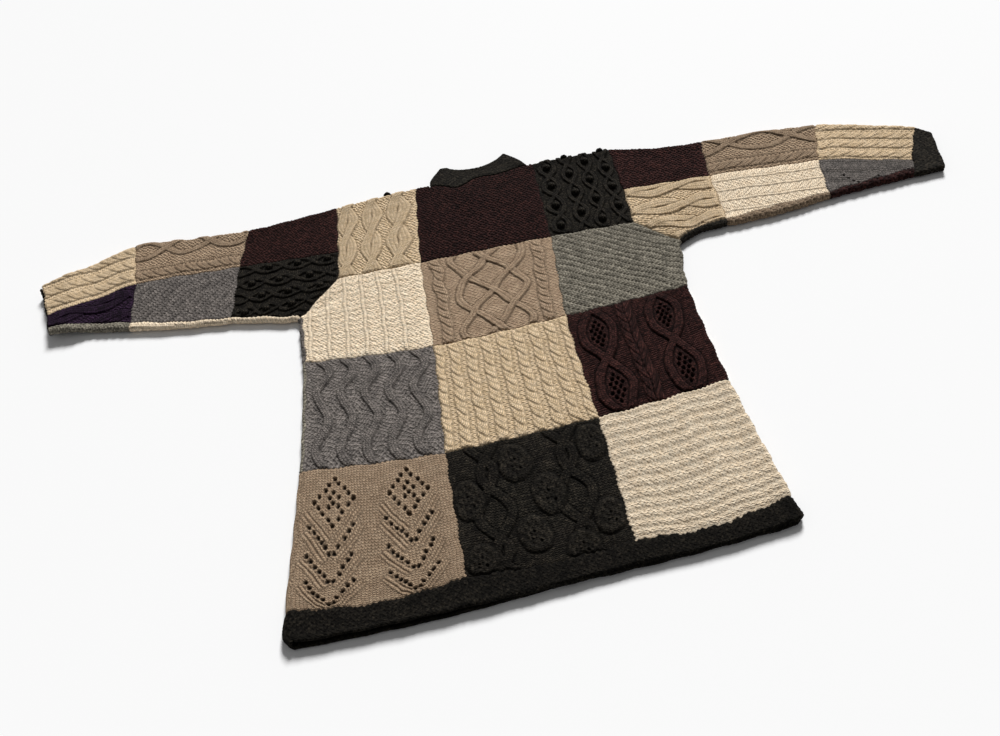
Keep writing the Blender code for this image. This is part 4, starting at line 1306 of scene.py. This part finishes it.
def wool(name, yarn):
    """Soft lambswool: flecked, matt, with a halo of loose fibres.
    Painted shade darkens its gaps and hollows, and painted light brightens the tops of the stitches.
    """
    material = bpy.data.materials.new(f"{name}_lambswool")
    material.use_nodes = True
    tree = material.node_tree
    tree.nodes.clear()
    depth = DEPTHS[name]
    read = {
        n: add(tree, "ShaderNodeAttribute", {"attribute_name": n}).outputs["Fac"]
        for n in (*COUNTS, "shade", "hole", "brightness_change")
    }
    place = add(tree, "ShaderNodeUVMap", {"uv_map": "Knitting"})
    stitch = add(tree, "ShaderNodeGroup", {"node_tree": YARN_IN_STITCH}, **{n: read[n] for n in COUNTS})
    mixed, ramp = fleck_ramp(tree, place, yarn)

    # Painted shade and light: gap darkens the wool between the stitches and lightens their tops, hollow
    # darkens the relief's hollows and seams and lightens its crests, and the hole factor darkens an
    # eyelet as its shade would.
    gap = add(tree, "ShaderNodeMapRange", i0=stitch, i1=0.0, i2=0.8, i3=depth.gap, i4=depth.top)
    hollow = add(
        tree, "ShaderNodeMapRange", i0=read["shade"], i1=-1.5, i2=0.5, i3=depth.hollow, i4=depth.crest
    )
    painted_hole_shade = add(tree, "ShaderNodeMapRange", i0=read["hole"], i1=0.15, i2=0.9, i3=1.0, i4=0.1)
    uneven = add(tree, MATH, PLUS, i0=stitch.outputs["Uneven"], i1=2 * depth.uneven, i2=1 - depth.uneven)
    # dark: the painted shade and light above, times the stitches' uneven tone and the piece's brightness
    # factor.
    dark = gap
    for factor in (hollow, painted_hole_shade, uneven):
        dark = add(tree, MATH, TIMES, i0=dark, i1=factor)
    dark = add(tree, MATH, PLUS, i0=dark, i1=read["brightness_change"], i2=dark)
    colour = add(tree, "ShaderNodeVectorMath", SCALE, i0=ramp, Scale=dark.outputs[0])

    plies = add(
        tree, "ShaderNodeTexWave", {"bands_direction": "DIAGONAL"},
        Vector=place, Scale=1000 / PLY_SIZE / 6.28, Distortion=3.0, Detail=1.0,
    )
    fuzz = add(tree, MATH, PLUS, i0=plies.outputs["Fac"], i1=0.2, i2=stitch)
    fuzz = add(tree, MATH, PLUS, i0=mixed, i1=1.2, i2=fuzz)
    bump = add(tree, "ShaderNodeBump", Strength=0.8, Distance=FUZZ_DEPTH, Height=fuzz)
    surface = add(tree, "ShaderNodeBsdfPrincipled", Base_Color=colour, Roughness=0.94, Normal=bump)
    surface.inputs["Specular IOR Level"].default_value = depth.gloss
    surface.inputs["Sheen Weight"].default_value = SHEEN * depth.gloss / PALE.gloss
    surface.inputs["Sheen Roughness"].default_value = 0.55
    surface.inputs["Sheen Tint"].default_value = linear(yarn.light)
    add(tree, "ShaderNodeOutputMaterial", Surface=surface)
    return material


WOOL = {name: wool(name, yarn) for name, yarn in YARN_COLOURS.items()}
print("materials:", ", ".join(material.name for material in WOOL.values()))

# %% [markdown]
# ## Soft forms
# Knitting is never quite flat. Each square swells a little between its seams, the seams wander with the
# stitches they join, and the cloth keeps a few soft folds: at the underarms, where the sleeve turns, and
# along the sleeves. They are listed one by one, a row for each, uneven in length, rise and width.

# %% The soft folds
SoftFold = namedtuple("SoftFold", "x0 y0 x1 y1 rise width")  # a trough has a negative rise
SOFT_FOLDS = (
    SoftFold(-290, -250, -205, -205, -1.8, 9),
    SoftFold(-296, -236, -230, -168, 1.4, 10),
    SoftFold(290, -258, 218, -214, -2.0, 8),
    SoftFold(300, -240, 236, -176, 1.6, 10),
    SoftFold(322, -245, 300, -180, -1.6, 8),
    SoftFold(-345, -228, -318, -120, 1.2, 14),
    SoftFold(-470, -20, -520, -150, 1.5, 20),
    SoftFold(-505, -30, -590, -120, -1.4, 13),
    SoftFold(-600, 0, -560, -150, 1.1, 15),
    SoftFold(-650, -60, -690, -130, -1.2, 10),
    SoftFold(430, -70, 405, -210, 1.3, 15),
    SoftFold(520, -90, 470, -220, -1.3, 12),
    SoftFold(575, -90, 560, -210, 1.2, 14),
    SoftFold(640, -120, 615, -215, -1.2, 9),
    SoftFold(-250, -420, -262, -640, 1.0, 22),
    SoftFold(-120, -600, -60, -735, 1.1, 20),
    SoftFold(30, -640, 70, -742, -1.2, 16),
    SoftFold(200, -560, 236, -715, 1.3, 20),
    SoftFold(150, -640, 165, -738, -1.0, 14),
    SoftFold(-190, -650, -205, -742, -1.1, 13),
    SoftFold(-20, -40, 60, -90, 1.0, 24),
    SoftFold(-60, -20, -10, -120, -0.9, 14),
)


def soft_rise(places):
    """How far the soft folds raise the cloth at each place in plan."""
    rise = np.zeros(places.shape[:-1])
    for fold in SOFT_FOLDS:
        start, end = point(fold.x0, fold.y0), point(fold.x1, fold.y1)
        along = end - start
        part = np.clip(((places - start) @ along) / (along @ along), 0, 1)
        away = np.linalg.norm(places - start - part[..., None] * along, axis=-1)
        fade = ease(part / 0.3) * ease((1 - part) / 0.3) + 0.25
        rise += fold.rise * fade * np.exp(-((away / fold.width) ** 2))
    return rise


print("soft folds:", len(SOFT_FOLDS))

# %% Swells and seams
SEAM_DEPTH = 1.2  # mm that the seam lies below the squares
SEAM_WIDTH = 1.5
PLAIN_EDGE = 2.2  # mm beside a seam without a pattern
SWELL = 0.9  # mm that a square rises between its seams
SWELL_REACH = 14.0  # mm from the seam
HEM_SEAM_Y = BODY_LINES[4].seam1_y + SHOULDER_Y + 3  # mm along Y


def run_lengths(points, axis):
    """How far each point lies from the nearer end of its line, along the cloth."""
    lengths = np.linalg.norm(np.diff(points, axis=axis), axis=-1)
    start = np.zeros_like(np.take(lengths, [0], axis=axis))
    first = np.concatenate([start, np.cumsum(lengths, axis=axis)], axis=axis)
    return np.minimum(first, np.take(first, [-1], axis=axis) - first)


def wander(places, edge):
    """Moves the seams a little to and fro, by the stitches that they join."""
    x, y = places[..., 0], places[..., 1]
    teeth = np.exp(-((edge / 2.4) ** 2)) * (0.45 + 0.55 * np.sin(x / 17 + y / 23) ** 2)
    slow = np.exp(-edge / 16)
    dx = teeth * np.sin(TURN * y / 6.2 + 1.8 * np.sin(y / 11)) + slow * np.sin(TURN * y / 43 + x / 70)
    dy = teeth * np.sin(TURN * x / 6.4 + 1.8 * np.sin(x / 13)) + slow * np.sin(TURN * x / 47 + y / 60)
    hem = np.exp(-(((y - HEM_SEAM_Y) / 9) ** 2))
    dy += 1.1 * slow * hem * np.sin(TURN * x / 15.5 + 1.6 * np.sin(x / 31))
    return np.stack([dx, dy], -1)


print("a square rises", SWELL, "mm between seams", SEAM_DEPTH, "mm deep")

# %% [markdown]
# ## From a grid of points to a knitted piece
# Every patch is a closed wall. Its outer side is a fine grid that carries the pattern. Its inner side
# is hidden, so it is a coarse grid, and a ring of triangles joins the two round the rim. The open ends
# of the bands show their thickness, so there the fine grid first rolls over the edge. Solidify could
# give the wall, but it would copy the whole fine grid to the side that nobody sees.

# %% Closing a wall
def corners_of(grid):
    """The four corners of every cell."""
    return grid[:-1, :-1], grid[1:, :-1], grid[1:, 1:], grid[:-1, 1:]


def grid_triangles(index, flip):
    """Two triangles for each cell of a grid of point numbers."""
    a, b, c, d = corners_of(index)
    triangles = np.concatenate([np.stack(three, -1).reshape(-1, 3) for three in ((a, b, c), (a, c, d))])
    return triangles[:, ::-1] if flip else triangles


def rim_of(index):
    """The border of a grid, once round."""
    return np.concatenate([index[0, :-1], index[:-1, -1], index[-1, :0:-1], index[:0:-1, 0]])


def rim_triangles(fine, coarse, row_marks, column_marks):
    """Joins the fine border to the coarse one: a fan of fine edges to each coarse corner."""
    rows, columns = fine.shape[0] - 1, fine.shape[1] - 1
    marks = [*column_marks[:-1], *(columns + row_marks[:-1])]
    marks += [*(2 * columns + rows - column_marks[:0:-1]), *(2 * columns + 2 * rows - row_marks[:0:-1])]
    marks.append(2 * columns + 2 * rows)
    fine, coarse = rim_of(fine), rim_of(coarse)
    fine, coarse = np.append(fine, fine[0]), np.append(coarse, coarse[0])
    triangles = []
    for k in range(len(marks) - 1):
        here, there = coarse[k], coarse[k + 1]
        middle = (marks[k] + marks[k + 1]) // 2
        triangles += [(fine[j], fine[j + 1], here) for j in range(marks[k], middle)]
        triangles.append((here, fine[middle], there))
        triangles += [(fine[j], fine[j + 1], there) for j in range(middle, marks[k + 1])]
    return np.array(triangles)


def wall_triangles(shape, row_marks, column_marks):
    """A closed wall: the fine grid, the coarse grid behind it, and the rim that joins them."""
    fine = np.arange(shape[0] * shape[1]).reshape(shape)
    coarse = fine.size + np.arange(len(row_marks) * len(column_marks)).reshape(len(row_marks), -1)
    rim_marks = row_marks.copy()
    rim_marks[-1] = shape[0] - 1
    rim = rim_triangles(fine, coarse, rim_marks, column_marks)
    return np.concatenate([grid_triangles(fine, False), grid_triangles(coarse, True), rim])


def marks_along(lengths, gap):
    """Which lines of the fine grid the coarse grid keeps."""
    count = max(2, int(round(lengths[-1] / gap)))
    return np.unique(np.searchsorted(lengths, np.linspace(0, lengths[-1] - 1e-6, count + 1)))


print("the inner grid's lines are about", LINING, "mm apart")


# %% Rolling a band's open edge over, and measuring a grid
def roll_over(outer, facing, x, y, wall, reach):
    """Carries the last line of a band round its edge and a little way up its inner side."""
    outer, facing, x, y = outer[:-2], facing[:-2], x[:-2], y[:-2]
    away = unit(outer[-1] - outer[-2])
    away = unit(mix(away, unit(away.mean(0)), 0.75))
    away = unit(away - (away * facing[-1]).sum(-1, keepdims=True) * facing[-1])
    centre = outer[-1] - wall / 2 * facing[-1]
    rows = [outer]
    turns = [facing]
    for angle in np.radians(np.linspace(0, 180, 7)[1:]):
        turn = math.cos(angle) * facing[-1] + math.sin(angle) * away
        rows.append((centre + wall / 2 * turn)[None])
        turns.append(turn[None])
    for distance in steps(0, reach, FINE)[1:]:
        rows.append((outer[-1] - wall * facing[-1] - distance * away)[None])
        turns.append(-facing[-1:])
    outer, facing = np.concatenate(rows), np.concatenate(turns)
    extra = np.arange(1, len(outer) - len(x) + 1)[:, None] * FINE
    return outer, facing, np.vstack([x, 0 * extra + x[-1]]), np.vstack([y, y[-1] + extra])


def running(grid, axis):
    """How far down or across the grid each of its lines comes, at the widest."""
    lengths = np.linalg.norm(np.diff(grid, axis=axis), axis=-1).max(1 - axis)
    return np.concatenate([[0], np.cumsum(lengths)])


def cloth_size(grid):
    """The widest width and longest length of a patch, and its area, measured along the cloth."""
    length = np.linalg.norm(np.diff(grid, axis=0), axis=-1).sum(0).max()
    width = np.linalg.norm(np.diff(grid, axis=1), axis=-1).sum(1).max()
    a, b, c, d = corners_of(grid)
    halves = [np.linalg.norm(np.cross(p, q), axis=-1) for p, q in ((b - a, c - a), (c - a, d - a))]
    return float(width), float(length), float((halves[0] + halves[1]).sum() / 2)


def blurred(field, times):
    """A field smoothed over its neighbours."""
    for _ in range(times):
        padded = np.pad(field, 1, mode="edge")
        field = (padded[:-2, 1:-1] + padded[2:, 1:-1] + padded[1:-1, :-2] + padded[1:-1, 2:]) / 4
    return field


PIECES = {}
print("a fold is knitted", round(AROUND / FINE), "points round")


# %% Knitting one patch
GAP_DEPTH = 0.7 * MM  # how deep the gaps between the stitches are
PRESSED_IN = 1.3  # mm that the table presses the underside's pattern in


def raise_pattern(outer, facing, k, edge, room, under):
    """The relief on a patch: its pattern, its swell and the seam's groove, pressed in underneath,
    and the painted shade that goes with it.
    """
    height = k.h * room + SWELL * (1 - np.exp(-edge / SWELL_REACH))
    height = mix(height, np.minimum(0.45 * height - PRESSED_IN, 0), under)
    height = height - SEAM_DEPTH * np.exp(-((edge / SEAM_WIDTH) ** 2)) * (1 - 0.6 * under)
    # shade is painted shade and light: darker in the relief's hollows and along the seam, lighter on its
    # crests.
    shade = (height - blurred(height, 14)) * room - 0.35 * np.exp(-((edge / 1.6) ** 2))
    return outer + height[..., None] * facing, shade


def knit(node, yarn, surface, motif, reach=0.0):
    """One patch: its surface, the pattern raised on it, and the wall closed behind it."""
    outer, facing, (x, y), wall = surface
    facing, x, y = (np.array(array, float) for array in (facing, x, y))
    plain_rows = len(outer)
    if reach:
        plain_rows -= 2
        outer, facing, x, y = roll_over(outer, facing, x, y, wall, reach)
    edge = np.minimum(run_lengths(outer, 0), run_lengths(outer, 1))
    outer[..., :2] += wander(outer[..., :2], edge)

    # Which lines of the fine grid the inner side keeps. Behind a rolled edge it stops short of the end.
    down, across = running(outer, 0), running(outer, 1)
    kept = len(outer) if not reach else int(np.searchsorted(down, down[plain_rows - 1] - reach - 1.5))
    row_marks, column_marks = marks_along(down[:kept], LINING), marks_along(across, LINING)
    row_marks[-1], column_marks[-1] = kept - 1, len(across) - 1
    picked = np.ix_(row_marks, column_marks)
    inner_side = (outer - wall * facing)[picked]

    k = new_square(x, y)
    motif(k)
    room = 1 - np.exp(-((edge / PLAIN_EDGE) ** 2))
    under = np.clip(-facing[..., 2], 0, 1) ** 2
    surface_points, shade = raise_pattern(outer, facing, k, edge, room, under)

    triangles = wall_triangles(outer.shape[:2], row_marks, column_marks)
    here, below, beside, _ = corners_of(surface_points)
    if (np.cross(below - here, beside - here) * facing[:-1, :-1]).sum() < 0:
        triangles = triangles[:, ::-1]

    points = np.concatenate([surface_points.reshape(-1, 3), inner_side.reshape(-1, 3)])
    layered = np.clip(points[:, 2] / (FOLD_HEIGHT - 1), 0, 1)
    points[:, 2] += soft_rise(points[:, :2]) * layered
    fields = {
        name: np.concatenate([field.ravel(), field[picked].ravel() * keep])
        for name, field, keep in (
            ("wale", k.wale, 1), ("course", k.course, 1), ("purl", k.purl, 1), ("seed", k.seed, 1),
            ("hole", k.hole, 0), ("room", room * (1 - under), 0), ("shade", shade, 0),
            ("x", x, 1), ("y", y, 1), ("brightness_change", PIECE_BRIGHTNESS.get(node, 1.0) - 1 + 0 * x, 1),
        )
    }
    fields["facing"] = np.concatenate([facing.reshape(-1, 3), -facing[picked].reshape(-1, 3)])
    piece = piece_from(node + "_knitting", points, triangles, fields)
    grow(piece, STITCHES, {"Gap depth": GAP_DEPTH, "Yarn": WOOL[yarn]})
    bobbles = bobbles_on(node, yarn, k, surface_points, facing, edge) if k.bobbles else None
    PIECES[node] = SimpleNamespace(
        piece=piece, yarn=yarn, bobbles=bobbles, size=cloth_size(outer[:plain_rows])
    )


print("stitch gaps:", round(GAP_DEPTH / MM, 1), "mm deep")


# %% Arrays into pieces
def add_piece(name, mesh):
    piece = bpy.data.objects.new(name, mesh)
    bpy.context.scene.collection.objects.link(piece)
    return piece


def piece_from(name, points, triangles, fields):
    """A mesh object from arrays in millimetres, with points at one place merged."""
    keys = np.round(points / 0.01).astype(np.int64)
    _, first, same = np.unique(keys, axis=0, return_index=True, return_inverse=True)
    triangles = same.ravel()[triangles]
    a, b, c = triangles.T
    triangles = triangles[(a != b) & (b != c) & (c != a)]
    mesh = bpy.data.meshes.new(name)
    mesh.vertices.add(len(first))
    mesh.vertices.foreach_set("co", (points[first] * MM).astype(np.float32).ravel())
    mesh.loops.add(triangles.size)
    mesh.loops.foreach_set("vertex_index", triangles.astype(np.int32).ravel())
    mesh.polygons.add(len(triangles))
    mesh.polygons.foreach_set("loop_start", np.arange(0, triangles.size, 3, dtype=np.int32))
    places = np.stack([fields.pop("x"), fields.pop("y")], 1)[first][triangles.ravel()] * MM
    mesh.uv_layers.new(name="Knitting").data.foreach_set("uv", places.astype(np.float32).ravel())
    for field, values in fields.items():
        kind, key = ("FLOAT_VECTOR", "vector") if values.ndim == 2 else ("FLOAT", "value")
        layer = mesh.attributes.new(field, kind, "POINT")
        layer.data.foreach_set(key, values[first].astype(np.float32).ravel())
    mesh.update(calc_edges=True)
    mesh.shade_smooth()
    return add_piece(name, mesh)


BOBBLE_RADIUS = 6.4
BOBBLE_RISE = 1.8  # mm of its middle above the knitting
BOBBLE_LOWEST = 7.0  # mm of its middle above the table


def bobbles_on(node, yarn, k, surface_points, facing, edge):
    """Bobbles at their places in the knitting, as points that a node tree turns into balls."""
    places, ways = [], []
    for x, y in k.bobbles:
        away = (k.x - x) ** 2 + (k.y - y) ** 2
        nearest = np.unravel_index(away.argmin(), away.shape)
        on_outline = abs(facing[nearest][2]) < 0.7
        clear = edge[nearest] > 7 and facing[nearest][2] > 0  # the table presses the others in
        if away[nearest] < 30 and (clear or on_outline):
            places.append(surface_points[nearest] + BOBBLE_RISE * facing[nearest])
            places[-1][2] = max(places[-1][2], BOBBLE_LOWEST)
            ways.append(facing[nearest])
    mesh = bpy.data.meshes.new(node + "_bobbles")
    mesh.from_pydata([tuple(place * MM) for place in places], [], [])
    layer = mesh.attributes.new("facing", "FLOAT_VECTOR", "POINT")
    layer.data.foreach_set("vector", np.array(ways, np.float32).ravel())
    piece = add_piece(node + "_bobbles", mesh)
    grow(piece, BOBBLES, {"Radius": BOBBLE_RADIUS * MM, "Roundness": 3, "Yarn": WOOL[yarn]})
    return piece


print("bobbles are", 2 * BOBBLE_RADIUS, "mm wide")

# %% [markdown]
# ## Knitting the sweater
# Now every square is one line of a loop: its surface, its pattern and its yarn.

# %% The body
for row in range(4):
    for layer in ("back", "front"):
        for column, side in enumerate(("left", "center", "right")):
            name = f"{layer}_r{row + 1}"
            surface = body_patch(layer, row, [column])
            knit(f"{name}_{side}", YARNS[name][column], surface, PATTERNS[name][column])
knit("hem_back", "charcoal", body_patch("back", 4, [0, 1, 2]), rib, 6.0)
knit("hem_front", "charcoal", body_patch("front", 4, [0, 1, 2]), rib, 15.0)
print("body squares and hem:", len(PIECES))

# %% The sleeves, the cuffs and the collar
for side, word in ((LEFT, "left"), (RIGHT, "right")):
    for row in "abcd":
        name = f"{word}_sleeve_{row}"
        for length in range(3):
            surface = sleeve_patch(side, row, length)
            knit(f"{name}{length + 1}", YARNS[name][length], surface, PATTERNS[name][length])
for half in ("back", "front"):
    knit(f"right_cuff_{half}", "charcoal", right_cuff(half), rib, 6.0)
    knit(f"left_cuff_{half}", "charcoal", left_cuff(half), rib)
    knit(f"collar_{half}", "charcoal", collar(half), rib, 8.0)
grown = [made.piece for made in PIECES.values()] + [m.bobbles for m in PIECES.values() if m.bobbles]
settle(grown)
counts = [len(piece.data.polygons) for piece in grown]
print("pieces:", len(grown), " triangles:", sum(counts), " most in one:", max(counts))

# %% [markdown]
# ## Every piece rides on one body
# Cloth has no joints here: everything rides on one body. Each square is a sheet that was knitted to a
# size and then laid down, and the back's squares rest on the front's.

# %% Ride and replace
for node, made in PIECES.items():
    extras = [made.bobbles] if made.bobbles else []
    for piece in [made.piece, *extras]:
        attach(piece, "root")
    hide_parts(node)
    width, length, area = made.size
    flat = (width * MM, length * MM)
    area = min(area * MM * MM, flat[0] * flat[1])
print("sheets:", len(PIECES))

# %% [markdown]
# ## The table, the light and the camera
# The sweater lies on a plain white table. A broad window lights it from behind, a little to the right,
# and the room gives the rest, so that every cable has a soft shadow side and the sweater a soft shadow
# at its lower edges. An area lamp could be the window, but its light would fall off across the table,
# so a wide sun is used. The camera looks down over the hem, turned a little on its side.

# %% The table
TABLE_DROP = 0.4 * MM
bpy.ops.mesh.primitive_plane_add(size=9, location=(0, 0, -TABLE_DROP))
table = bpy.context.object
table.name = "table"
white = bpy.data.materials.new("white_table_top")  # matt laminate: an even white without gloss
white.use_nodes = True
top = white.node_tree.nodes["Principled BSDF"]
top.inputs["Base Color"].default_value = linear("#FAFAFA")
top.inputs["Roughness"].default_value = 0.8
top.inputs["Specular IOR Level"].default_value = 0.1
table.data.materials.append(white)
print("the table's top lies", TABLE_DROP / MM, "mm below the wool")

# %% Light
SUN_STRENGTH = 4.35
SUN_SPREAD = math.radians(17)  # a broad window: the wider, the softer the shadow's edge
SUN_WAY = Vector((-0.28, -0.76, -0.59))
ROOM_STRENGTH = 0.18
SEEN_STRENGTH = 0.76  # added where the camera sees past the table, so that it is white there
sun = bpy.data.lights.new("window", "SUN")
sun.energy = SUN_STRENGTH
sun.angle = SUN_SPREAD
window = bpy.data.objects.new("window", sun)
window.rotation_euler = SUN_WAY.to_track_quat("-Z", "Y").to_euler()
bpy.context.scene.collection.objects.link(window)
world = bpy.data.worlds.new("room")
world.use_nodes = True
room_air = world.node_tree.nodes["Background"]
room_air.inputs["Color"].default_value = (1, 1, 1, 1)
seen = add(world.node_tree, "ShaderNodeLightPath").outputs["Is Camera Ray"]
strength = add(world.node_tree, MATH, PLUS, i0=seen, i1=SEEN_STRENGTH, i2=ROOM_STRENGTH)
world.node_tree.links.new(strength.outputs[0], room_air.inputs["Strength"])
bpy.context.scene.world = world
bpy.context.scene.view_settings.view_transform = "Standard"
print("sun", SUN_STRENGTH, "room", ROOM_STRENGTH)

# %% Camera
EYE = Vector((0.02335, -0.67659, 0.83086))
RIGHTWARD = Vector((0.97699, -0.14286, -0.15837))
BACKWARD = Vector((0.02860, -0.64809, 0.76103))
lens = bpy.data.cameras.new("camera")
lens.lens = 28.8
lens.sensor_width = 36
camera = bpy.data.objects.new("camera", lens)
upward = BACKWARD.cross(RIGHTWARD)
turn = Matrix((RIGHTWARD, upward, BACKWARD)).transposed().to_4x4()
camera.matrix_world = Matrix.Translation(EYE) @ turn
bpy.context.scene.collection.objects.link(camera)
bpy.context.scene.camera = camera
print("camera looks down at", round(math.degrees(math.asin(BACKWARD.z)), 1), "degrees")

# %% Update the scene
bpy.context.view_layer.update()
